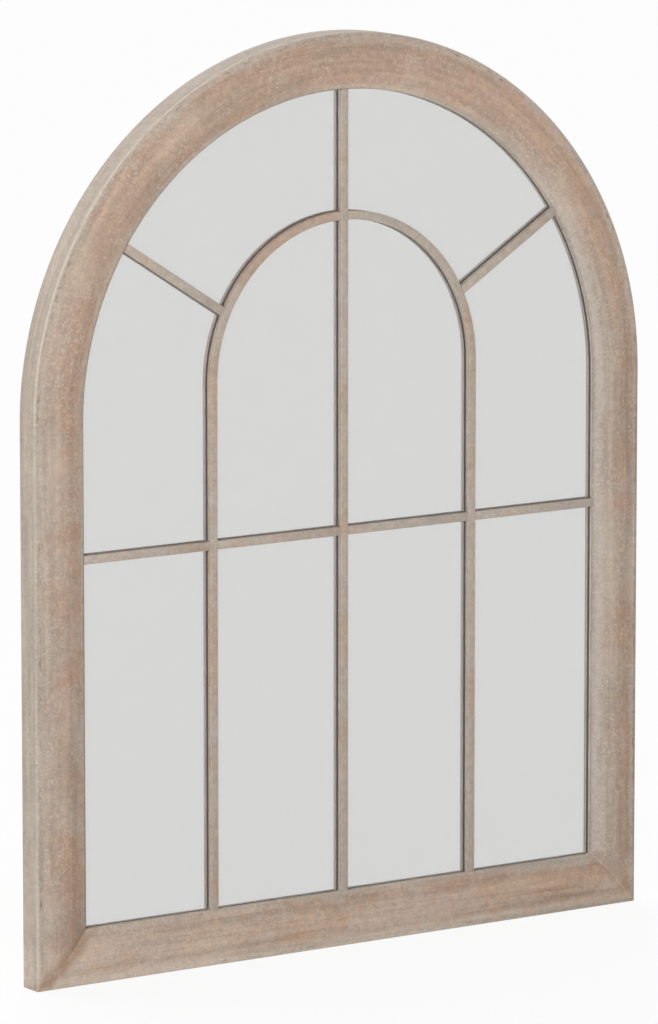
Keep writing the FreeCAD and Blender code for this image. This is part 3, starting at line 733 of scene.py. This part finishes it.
class BarCoats(Coats):
    """The greyer wash on the glazing bars."""

    def material(self) -> Material:
        """Lay the coats in order.

        Returns:
            The finished material.
        """
        self.cover(self.fade(self.noise(self.place, 11.0), 0.46, 0.66, 0.0, 0.65), self.paint.orange)
        self.shade(self.fade(self.noise(self.place, 90.0, 4.0, 0.65), 0.25, 0.75, 0.92, 1.05))
        self.shade(self.mottle)
        self.cover(self.times(self.pale, 0.2), self.paint.pale)
        # Painted light: the bars' sides are lighter towards the glass, for the light the mirror would throw
        # on them, and darker towards the front.
        flank = self.fade(self.depth, -self.layout.lip_front, -self.layout.glass_front, 0.92, 1.18)
        self.shade(self.fade(self.attribute(FLANK), 0.0, 1.0, 1.0, flank))
        self.cover(self.attribute(BARE), self.paint.primer)
        return self.coated(self.relief(160.0), 0.00012)


@dataclass(frozen=True)
class MirrorSheet:
    """Clear float glass with a silvered back and a faint film of dust."""

    tint: Colour = srgb(251, 252, 251)
    index: float = 1.52
    clearness: float = 0.91
    silver: Colour = srgb(220, 219, 219)
    coat: Colour = srgb(108, 112, 114)
    coat_roughness: float = 0.5

    def glass(self) -> Material:
        """The clear sheet."""
        board = NodeBoard.new("clear_glass")
        return board.finish(Base_Color=self.tint, Roughness=0.0, IOR=self.index,
                            Transmission_Weight=self.clearness)

    def silvering(self, coat_plane: float) -> Material:
        """The silver in front, and the grey coat of paint behind.

        Args:
            coat_plane: Depth where the silver ends and the paint starts.

        Returns:
            The material.
        """
        board = NodeBoard.new("silvering")
        _, depth, _ = board.split(board.object_place())
        behind = board.math("GREATER_THAN", depth, coat_plane)
        colour = board.mix(behind, self.silver, self.coat)
        return board.finish(Base_Color=colour, Metallic=board.math("SUBTRACT", 1.0, behind),
                            Roughness=board.times(behind, self.coat_roughness))


@dataclass(frozen=True)
class Hardboard:
    """Brown pressed fibre board, its rough side to the wall."""

    dark: Colour = srgb(112, 78, 50)
    light: Colour = srgb(142, 102, 68)
    mesh_pitch: float = 0.0016
    roughness: float = 0.85

    def material(self) -> Material:
        """The board with its screen marks and fibres."""
        board = NodeBoard.new("hardboard")
        place = board.object_place()
        x, _, z = board.split(place)
        waves = 2 * math.pi / self.mesh_pitch
        weave = board.times(*(board.math("SINE", board.times(way, waves)) for way in (x, z)))
        fibres = board.noise(place, 260.0, 4.0, 0.7)
        clouds = board.noise(place, 7.0)
        share = board.math("ADD", board.times(fibres, 0.7), board.times(clouds, 0.4))
        colour = board.mix(board.fade(share, 0.35, 0.8), self.dark, self.light)
        height = board.math("ADD", board.times(weave, 0.5), fibres)
        return board.finish(Base_Color=colour, Roughness=self.roughness, Normal=board.bump(height, 0.0002))


@dataclass(frozen=True)
class ZincPlate:
    """Bright zinc on bent steel, with a faint yellow cast and fine scuffs."""

    bright: Colour = srgb(201, 202, 200)
    dull: Colour = srgb(163, 163, 158)

    def material(self) -> Material:
        """The plated steel."""
        board = NodeBoard.new("zinc_steel")
        place = board.object_place()
        clouds = board.noise(place, 180.0, 4.0, 0.65)
        scuffs = board.grain(place, (900.0, 900.0, 60.0), 3.0)
        colour = board.mix(board.fade(clouds, 0.35, 0.7), self.bright, self.dull)
        rough = board.fade(board.math("ADD", clouds, scuffs), 0.7, 1.3, 0.24, 0.46)
        return board.finish(Base_Color=colour, Metallic=1.0, Roughness=rough,
                            Normal=board.bump(scuffs, 0.00003))


@dataclass(frozen=True)
class BareBeech:
    """Unpainted wood of the splines inside the joints."""

    light: Colour = srgb(205, 176, 138)
    dark: Colour = srgb(182, 147, 106)
    roughness: float = 0.7

    def material(self) -> Material:
        """The wood with its short flecks."""
        board = NodeBoard.new("spline_wood")
        place = board.object_place()
        flecks = board.grain(place, (700.0, 300.0, 90.0), 3.0)
        colour = board.mix(board.fade(flecks, 0.4, 0.65), self.light, self.dark)
        return board.finish(Base_Color=colour, Roughness=self.roughness)


@dataclass(frozen=True)
class Moulding:
    """Section of the frame, measured in from the outer side and forward from the wall."""

    side_depth: float = 0.027
    back_ease: float = 0.0006
    arris_radius: float = 0.0017
    bead: float = 0.0045
    bead_slope: float = math.radians(7)
    turn: float = 0.014
    steepest: float = math.radians(17.5)
    crest: float = 0.0305
    inner_slope: float = math.radians(-16)
    inner_turn: float = 0.0105
    lip_radius: float = 0.0010
    rebate_width: float = 0.010
    curve_steps: int = 8
    round_steps: int = 5

    def outline(self, layout: Layout) -> list[Place]:
        """The section's closed outline.

        Args:
            layout: Main places of the mirror.

        Returns:
            Places as (in from the side, forward from the wall), from the back outer edge round the front.
        """
        front = self.side_depth
        arris = self.arris_radius
        lip = layout.face_width
        wall = lip - self.rebate_width
        cove = sloped_arc((self.bead, 0.0), self.bead_slope, self.steepest, self.turn - self.bead,
                          self.curve_steps)
        swell = sloped_arc(cove[-1], self.steepest, 0.0, self.crest - self.turn, self.curve_steps)
        fall = sloped_arc(swell[-1], 0.0, self.inner_slope, self.inner_turn, self.curve_steps)
        lift = layout.crown - swell[-1][1]
        points = [(self.back_ease, 0.0), (0.0, self.back_ease), (0.0, front - arris)]
        points += sloped_arc(points[-1], math.pi / 2, 0.0, arris, self.round_steps)
        points.append((self.bead, lift))
        points += [(inset, forward + lift) for inset, forward in cove + swell + fall]
        points.append((lip - self.lip_radius, layout.lip_front))
        points += sloped_arc(points[-1], 0.0, -math.pi / 2, self.lip_radius, self.round_steps)
        points += [(lip, layout.glass_front), (wall, layout.glass_front), (wall, 0.0)]
        return points


@dataclass
class MouldedFrame:
    """The six members of the frame: bottom rail, two stiles and three lengths of arch."""

    layout: Layout
    moulding: Moulding
    paint: Material
    arch_steps: int = 48
    mitre_ease: float = 0.00035
    segment_angle: float = math.radians(60)
    rail_start: float = 4.0

    @property
    def section(self) -> list[Place]:
        """The moulding's outline."""
        return self.moulding.outline(self.layout)

    @property
    def arch_centre(self) -> Vector:
        """Middle of the arch, in the wall plane."""
        return Vector((0.0, 0.0, self.layout.spring))

    def build(self) -> None:
        """Model and dress all six members."""
        self.build_rail()
        for side in Side:
            self.build_stile(side)
        for index, name in enumerate(("arch_right_segment", "arch_crown_segment", "arch_left_segment")):
            self.build_arch(name, self.segment_angle * index)

    def build_rail(self) -> None:
        """The bottom rail, mitred at both ends."""
        half = self.layout.half_width
        corners = [Vector((-half, -forward, inset)) for inset, forward in self.section]
        piece = trace_outline("bottom_rail_moulding", corners)
        with editing(piece, "FACE"):
            extrude(Vector((2 * half, 0.0, 0.0)))
        for side in Side:
            self.cut_mitre(piece, side, keep_above=False)
        self.complete(piece, "bottom_rail", self.run_on_rail)

    def build_stile(self, side: Side) -> None:
        """One stile, mitred at its foot and square at the spring line."""
        half = self.layout.half_width
        corners = [Vector((side.value * (half - inset), -forward, 0.0)) for inset, forward in self.section]
        piece = trace_outline(f"{side.label}_stile_moulding", corners)
        with editing(piece, "FACE"):
            extrude(Vector((0.0, 0.0, self.layout.spring)))
        self.cut_mitre(piece, side, keep_above=True)
        self.complete(piece, f"{side.label}_stile", self.run_on_stile)

    def build_arch(self, name: str, start: float) -> None:
        """One length of arch, turned from its start angle about the arch centre.

        Args:
            name: The node that it stands for.
            start: Angle of its lower end, from the right-hand spring line.
        """
        half = self.layout.half_width
        outward = Vector((math.cos(start), 0.0, math.sin(start)))
        corners = []
        for inset, forward in self.section:
            corners.append(self.arch_centre + outward * (half - inset) - AXIS_Y * forward)
        piece = trace_outline(f"{name}_moulding", corners)
        with editing(piece, "FACE"):
            bpy.ops.mesh.spin(steps=self.arch_steps, angle=self.segment_angle, center=self.arch_centre,
                              axis=AXIS_Y)
        self.complete(piece, name, self.run_on_arch)

    def cut_mitre(self, piece: Piece, side: Side, keep_above: bool) -> None:
        """Cut one lower corner at 45 degrees and ease the cut's edges.

        Args:
            piece: The rail or a stile.
            side: The corner's side.
            keep_above: True for a stile, which lies above the cut.
        """
        corner = Vector((side.value * self.layout.half_width, 0.0, 0.0))
        normal = Vector((side.value, 0.0, 1.0)).normalized()
        with editing(piece):
            bpy.ops.mesh.bisect(plane_co=corner, plane_no=normal, use_fill=True, clear_inner=keep_above,
                                clear_outer=not keep_above)
            select_points(piece, lambda place: abs((place - corner).dot(normal)) < MERGE_DISTANCE)
            bpy.ops.mesh.select_mode(type="EDGE")
            bpy.ops.mesh.bevel(offset=self.mitre_ease, segments=BEVEL_SEGMENTS, affect="EDGES")

    def complete(self, piece: Piece, node: str, run: Callable[[Vector], Vector]) -> None:
        """Close, mark, smooth and settle one member.

        Args:
            piece: The modelled member.
            node: The node that it stands for.
            run: Gives a place's distance along and round the moulding.
        """
        tidy_faces(piece)
        mesh = piece.data
        marks = mesh.attributes.new(RUN, "FLOAT_VECTOR", "POINT")
        for vertex, mark in zip(mesh.vertices, marks.data):
            mark.vector = run(vertex.co)
        mark_faces(piece, BARE, lambda polygon: self.is_bare(polygon, run))
        mark_faces(piece, PRIMED, self.is_primed)
        smooth(piece)
        settle(piece, self.paint, FRAME_BODY, "frame_paint", node)

    def is_bare(self, polygon: Polygon, run: Callable[[Vector], Vector]) -> bool:
        """Tell whether a face is on the unpainted back or in the rebate."""
        in_rebate = -polygon.center.y < self.layout.glass_front - DEPTH_SLACK and run(polygon.center).z == 1.0
        return polygon.normal.y > FACING_BACK or in_rebate

    def is_primed(self, polygon: Polygon) -> bool:
        """Tell whether a face is the rebate's floor, which lies on the glass."""
        return polygon.normal.y > FACING_BACK and -polygon.center.y > self.layout.glass_front - DEPTH_SLACK

    def girth(self, inset: float, place: Vector) -> tuple[float, float]:
        """Distance round the moulding from the front arris, and a mark for the rebate wall.

        Args:
            inset: Distance in from the outer side.
            place: The surface point.

        Returns:
            The distance, which is negative on the side and past the face width on the lip.
            The mark, 1 on the rebate wall and 0 elsewhere.
        """
        depth = -place.y
        lip = self.layout.face_width
        wall = lip - self.moulding.rebate_width
        on_wall = 1.0 if abs(inset - wall) < WALL_SLACK else 0.0
        if inset < self.moulding.arris_radius:
            return inset + min(0.0, depth - self.moulding.side_depth), on_wall
        if inset > lip - self.moulding.lip_radius:
            return inset + max(0.0, self.layout.lip_front - depth), on_wall
        return inset, on_wall

    def run_on_rail(self, place: Vector) -> Vector:
        """Distance along and round the bottom rail, counted where no other member is."""
        around, on_wall = self.girth(place.z, place)
        return Vector((place.x + self.rail_start, around, on_wall))

    def run_on_stile(self, place: Vector) -> Vector:
        """Distance along and round a stile, counted from the top of the arch."""
        around, on_wall = self.girth(self.layout.half_width - abs(place.x), place)
        quarter = self.layout.half_width * math.pi / 2
        return Vector((math.copysign(quarter + self.layout.spring - place.z, place.x), around, on_wall))

    def run_on_arch(self, place: Vector) -> Vector:
        """Distance along and round the arch, counted from its top."""
        outward = place - self.arch_centre
        radius = math.hypot(outward.x, outward.z)
        around, on_wall = self.girth(self.layout.half_width - radius, place)
        return Vector((self.layout.half_width * math.atan2(outward.x, outward.z), around, on_wall))


@dataclass
class GlazingBars:
    """The seven thin bars in front of the glass."""

    paint: Material
    edge_round: float = 0.0002
    flat_back: float = 0.9
    nodes: tuple[str, ...] = ("centre_mullion", "left_mullion", "right_mullion", "inner_arch_head",
                              "transom_bar", "left_radial_bar", "right_radial_bar")

    def build(self) -> None:
        """Round the edges of each bar and paint it."""
        for node in self.nodes:
            piece = copy_node(node)
            add_bevel(piece, self.edge_round)
            smooth(piece)
            mark_faces(piece, BARE, lambda polygon: polygon.normal.y > self.flat_back)
            mark_faces(piece, FLANK, lambda polygon: abs(polygon.normal.y) < FACING_BACK)
            settle(piece, self.paint, FRAME_BODY, "bar_paint", node)


@dataclass
class Sheets:
    """Glass, silvering and backing board, and the splines inside the joints."""

    mirror: MirrorSheet
    board: Hardboard
    splines: BareBeech
    silver_bite: float = 0.00005

    def build(self) -> None:
        """Dress the sheets and the hidden splines."""
        dress_node("mirror_glass", self.mirror.glass())
        dress_node("backing_board", self.board.material())
        dress_node("joint_splines", self.splines.material())
        self.build_silvering()

    def build_silvering(self) -> None:
        """Press the silver's front a hair into the glass, so that no light is caught between the two."""
        low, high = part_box("mirror_silvering")
        piece = copy_node("mirror_silvering")
        with editing(piece, "FACE"):
            select_points(piece, lambda place: place.y < low.y + MERGE_DISTANCE)
            bpy.ops.transform.translate(value=-AXIS_Y * self.silver_bite)
        material = self.mirror.silvering((low.y + high.y) / 2)
        settle(piece, material, FRAME_BODY, "silvering", "mirror_silvering")


def loose_parts(node: str) -> list[list[Vector]]:
    """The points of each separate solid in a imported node.

    Args:
        node: The node's name.

    Returns:
        One list of points for each solid.
    """
    mesh = bmesh.new()
    mesh.from_mesh(frame["nodes"][node].data)
    bmesh.ops.remove_doubles(mesh, verts=mesh.verts, dist=MERGE_DISTANCE)
    seen: set[bmesh.types.BMVert] = set()
    parts = []
    for vertex in mesh.verts:
        if vertex in seen:
            continue
        seen.add(vertex)
        waiting = [vertex]
        part = []
        while waiting:
            current = waiting.pop()
            part.append(current.co.copy())
            for edge in current.link_edges:
                other = edge.other_vert(current)
                if other not in seen:
                    seen.add(other)
                    waiting.append(other)
        parts.append(part)
    mesh.free()
    return parts


@dataclass
class PanScrew:
    """A cross-slotted pan-head screw."""

    head_radius: float = 0.003
    head_height: float = 0.0018
    shank_radius: float = 0.0015
    length: float = 0.012
    slot_length: float = 0.0033
    slot_width: float = 0.0007
    slot_depth: float = 0.0010
    sides: int = 32
    rim_share: float = 0.45
    point_share: float = 0.25
    dome: tuple[Place, ...] = ((0.16, 0.55), (0.22, 0.33), (0.3, 0.12))

    def model(self) -> Piece:
        """Model one screw, its head's seat at the origin and its head towards +Z.

        Returns:
            The screw.
        """
        deselect()
        rim = self.head_height * self.rim_share
        bpy.ops.mesh.primitive_cylinder_add(vertices=self.sides, radius=self.head_radius, depth=rim,
                                            location=(0.0, 0.0, rim / 2))
        screw = place_primitive("pan_screw")
        with editing(screw, "FACE"):
            select_points(screw, lambda place: place.z > rim - MERGE_DISTANCE)
            for share, lift in self.dome:
                bpy.ops.mesh.inset(thickness=self.head_radius * share)
                bpy.ops.transform.translate(value=(0.0, 0.0, (self.head_height - rim) * lift))
            select_points(screw, lambda place: place.z < MERGE_DISTANCE)
            bpy.ops.mesh.inset(thickness=self.head_radius - self.shank_radius)
            for share in (1 - self.point_share, self.point_share):
                extrude(-AXIS_Z * self.length * share)
            bpy.ops.mesh.merge(type="CENTER")
        self.cut_slots(screw)
        tidy_faces(screw)
        return screw

    def cut_slots(self, screw: Piece) -> None:
        """Cut the crossed slots out of the head."""
        for turn in (0.0, math.pi / 2):
            deselect()
            bpy.ops.mesh.primitive_cube_add(size=1.0, location=(0.0, 0.0, self.head_height),
                                            rotation=(0.0, 0.0, turn))
            bpy.context.object.scale = (self.slot_length, self.slot_width, 2 * self.slot_depth)
            cutter = place_primitive("slot_cutter")
            cut = screw.modifiers.new("slot", "BOOLEAN")
            cut.operation = "DIFFERENCE"
            cut.object = cutter
            apply_modifiers(screw)
            bpy.data.objects.remove(cutter)

    def set_at(self, master: Piece, node: str, head: Callable[[Vector], Vector], name: str) -> Piece:
        """Copy the screw to each packed screw's place and join the copies.

        Args:
            master: The modelled screw.
            node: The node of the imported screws.
            head: Gives from a screw's middle the direction of its head.
            name: Name of the joined piece.

        Returns:
            The joined piece.
        """
        copies = []
        for part in loose_parts(node):
            centre = sum(part, Vector()) / len(part)
            axis = head(centre)
            top = max((point - centre).dot(axis) for point in part)
            copy = link_new(name, master.data.copy())
            turn = axis.to_track_quat("Z", "Y").to_matrix().to_4x4()
            copy.data.transform(Matrix.Translation(centre + axis * (top - self.head_height)) @ turn)
            copies.append(copy)
        deselect()
        for copy in copies:
            copy.select_set(True)
        bpy.context.view_layer.objects.active = copies[0]
        bpy.ops.object.join()
        return bpy.context.object


@dataclass
class RingHanger:
    """One strap hanger: a rolled strap and a D-ring that swings in its eye."""

    side: Side
    strap_width: float = 0.014
    strap_drop: float = 0.027
    strap_thickness: float = 0.0012
    strap_round: float = 0.00015
    foot_steps: int = 12
    eye_bore: float = 0.00138
    eye_turn: float = math.radians(318)
    eye_steps: int = 28
    joggle: float = 0.004
    wire_radius: float = 0.0013
    ring_half: float = 0.0103
    ring_corner: float = 0.003
    ring_side: float = 0.007
    corner_steps: int = 8
    bow_steps: int = 28
    wire_sides: int = 20
    wire_smooth: float = 60.0

    @property
    def pin(self) -> Vector:
        """Middle of the eye, where the ring turns."""
        for joint in frame["joints"]:
            if joint["name"] == f"{self.side.label}_ring_swing":
                return Vector(joint["pos_m"])
        raise LookupError(self.side.label)

    def build(self, steel: Material) -> None:
        """Model and dress the strap and the ring."""
        strap = self.model_strap()
        settle(strap, steel, FRAME_BODY, "zinc_steel", f"{self.side.label}_hanger_strap")
        ring = self.model_ring()
        settle(ring, steel, f"{self.side.label}_ring", "zinc_steel", f"{self.side.label}_hanger_ring")

    def model_strap(self) -> Piece:
        """Model the strap: a flat leaf with a round foot, joggled and rolled into an eye.

        Returns:
            The strap.
        """
        pin = self.pin
        half = self.strap_width / 2
        eye_back = pin.y - self.eye_bore - self.strap_thickness
        foot = pin.z - self.strap_drop
        corners = []
        for step in range(self.foot_steps + 1):
            angle = math.pi + math.pi * step / self.foot_steps
            corners.append(Vector((pin.x + half * math.cos(angle), 0.0, foot + half * math.sin(angle))))
        corners.append(Vector((pin.x + half, 0.0, pin.z - self.joggle)))
        corners.append(Vector((pin.x - half, 0.0, pin.z - self.joggle)))
        strap = trace_outline(f"{self.side.label}_strap_rolled", corners)
        with editing(strap, "FACE"):
            extrude(AXIS_Y * self.strap_thickness)
            select_points(strap, lambda place: place.z > pin.z - self.joggle - MERGE_DISTANCE)
            extrude(Vector((0.0, eye_back, self.joggle)))
            bpy.ops.mesh.spin(steps=self.eye_steps, angle=self.eye_turn, center=pin, axis=AXIS_X)
        tidy_faces(strap)
        add_bevel(strap, self.strap_round)
        smooth(strap)
        return strap

    def model_ring(self) -> Piece:
        """Model the ring: a round wire drawn along the bar, two corners, two sides and the bow.

        Returns:
            The ring.
        """
        pin = self.pin
        deselect()
        bpy.ops.mesh.primitive_circle_add(vertices=self.wire_sides, radius=self.wire_radius,
                                          location=pin, rotation=(0.0, math.pi / 2, 0.0))
        ring = place_primitive(f"{self.side.label}_ring_wire")
        along = AXIS_X * (self.ring_half - self.ring_corner)
        down = -AXIS_Z * self.ring_side
        corner = -AXIS_Z * self.ring_corner
        bends = ((along, along + corner, math.pi / 2, self.corner_steps),
                 (down, corner + down, math.pi, self.bow_steps),
                 (-down, corner - along, math.pi / 2, self.corner_steps))
        with editing(ring):
            for travel, centre, angle, steps in bends:
                extrude(travel)
                bpy.ops.mesh.spin(steps=steps, angle=angle, center=pin + centre, axis=-AXIS_Y)
            extrude(along)
        tidy_faces(ring)
        smooth(ring, self.wire_smooth)
        return ring


@dataclass
class BackHardware:
    """Clips, screws and hangers on the back."""

    layout: Layout
    steel: Material
    clip_round: float = 0.00018

    def build(self) -> None:
        """Model and dress all the hardware."""
        clips = copy_node("retaining_clips")
        add_bevel(clips, self.clip_round)
        smooth(clips)
        settle(clips, self.steel, FRAME_BODY, "zinc_steel", "retaining_clips")
        screw = PanScrew()
        master = screw.model()
        for kind, head in (("clip", self.inward), ("hanger", lambda place: AXIS_Y)):
            piece = screw.set_at(master, f"{kind}_screws", head, f"{kind}_pan_screws")
            smooth(piece)
            settle(piece, self.steel, FRAME_BODY, "zinc_steel", f"{kind}_screws")
        bpy.data.objects.remove(master)
        for side in Side:
            RingHanger(side).build(self.steel)

    def inward(self, place: Vector) -> Vector:
        """Direction from a place on the rebate wall into the opening."""
        if place.z > self.layout.spring:
            return (Vector((0.0, place.y, self.layout.spring)) - place).normalized()
        if place.z < self.layout.face_width:
            return AXIS_Z.copy()
        return Vector((-math.copysign(1.0, place.x), 0.0, 0.0))


@dataclass
class Studio:
    """White floor and surround, a softbox, a soft rim light and the camera of the photograph."""

    surround: Colour = (1.0, 1.0, 1.0, 1.0)
    ambient: float = 0.40
    box_strength: float = 2.8
    box_place: Place3 = (-4.2, -4.2, 0.8)
    box_target: Place3 = (0.0, 0.0, 0.5)
    box_size: float = 3.4
    rim_strength: float = 1.9
    rim_from: Place3 = (0.0, 0.72, 0.69)
    rim_spread: float = math.radians(80)
    floor_half: float = 30.0
    floor_shade: Colour = (0.65, 0.65, 0.65, 1.0)
    floor_white: Colour = (0.97, 0.97, 0.97, 1.0)
    shadow_share: float = 0.10
    eye: Place3 = (-3.8614, -5.6586, 1.5751)
    yaw: float = 0.598766
    pitch: float = 0.165864
    focal_pixels: float = 7114.26
    image_height: float = 1024.0
    sensor: float = 36.0
    clip_end: float = 200.0

    def build(self) -> None:
        """Make the floor, the light and the camera."""
        self.make_floor()
        self.make_light()
        self.make_camera()
        bpy.context.scene.view_settings.view_transform = "Standard"

    def make_floor(self) -> None:
        """A wide white floor under the mirror that keeps its shadow."""
        deselect()
        bpy.ops.mesh.primitive_plane_add(size=2 * self.floor_half)
        floor = bpy.context.object
        floor.name = "floor"
        board = NodeBoard.new("studio_floor")
        shade = board.node("ShaderNodeBsdfDiffuse", Color=self.floor_shade)
        white = board.node("ShaderNodeBsdfDiffuse", Color=self.floor_white)
        glow = board.node("ShaderNodeEmission")
        seen = board.blend(self.shadow_share, glow, white)
        board.node("ShaderNodeOutputMaterial", Surface=board.by_ray(shade, seen, glow))
        floor.data.materials.append(board.owner)

    def make_light(self) -> None:
        """Even light from all round, the softbox, and a rim light from above and behind."""
        world = bpy.data.worlds.new("studio")
        bpy.context.scene.world = world
        board = NodeBoard(world)
        around = board.node("ShaderNodeBackground", Color=self.surround, Strength=self.ambient)
        white = board.node("ShaderNodeBackground", Color=self.surround)
        board.node("ShaderNodeOutputWorld", Surface=board.by_ray(around, white, white))
        self.make_softbox()
        rim = bpy.data.lights.new("rim", "SUN")
        rim.energy = self.rim_strength
        rim.angle = self.rim_spread
        self.hang_lamp(rim, Vector(self.rim_from), Vector(self.rim_from))

    def make_softbox(self) -> None:
        """A square box at the left front, near enough that its light falls off across the mirror."""
        reach = Vector(self.box_place) - Vector(self.box_target)
        box = bpy.data.lights.new("softbox", "AREA")
        box.size = self.box_size
        box.energy = self.box_strength * math.pi * reach.length_squared
        self.hang_lamp(box, Vector(self.box_place), reach)

    def hang_lamp(self, lamp: bpy.types.Light, place: Vector, source: Vector) -> None:
        """Put a lamp at its place, shining against the direction that it comes from."""
        holder = link_new(lamp.name, lamp)
        holder.location = place
        holder.rotation_mode = "QUATERNION"
        holder.rotation_quaternion = source.to_track_quat("Z", "Y")

    def make_camera(self) -> None:
        """The camera at the photograph's place."""
        lens = bpy.data.cameras.new("camera")
        lens.sensor_width = self.sensor
        lens.lens = self.focal_pixels / self.image_height * self.sensor
        lens.clip_end = self.clip_end
        camera = link_new("camera", lens)
        level = math.cos(self.pitch)
        forward = Vector((math.sin(self.yaw) * level, math.cos(self.yaw) * level, -math.sin(self.pitch)))
        camera.location = self.eye
        camera.rotation_mode = "QUATERNION"
        camera.rotation_quaternion = forward.to_track_quat("-Z", "Y")
        bpy.context.scene.camera = camera


def main() -> None:
    logging.basicConfig(level=logging.INFO, format="%(message)s")
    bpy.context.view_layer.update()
    layout = Layout.from_frame()
    paint = WornPaint()
    Studio().build()
    MouldedFrame(layout, Moulding(), paint.for_frame(layout)).build()
    GlazingBars(paint.for_bars(layout)).build()
    Sheets(MirrorSheet(), Hardboard(), BareBeech()).build()
    BackHardware(layout, ZincPlate().material()).build()


if __name__ == "__main__":
    main()
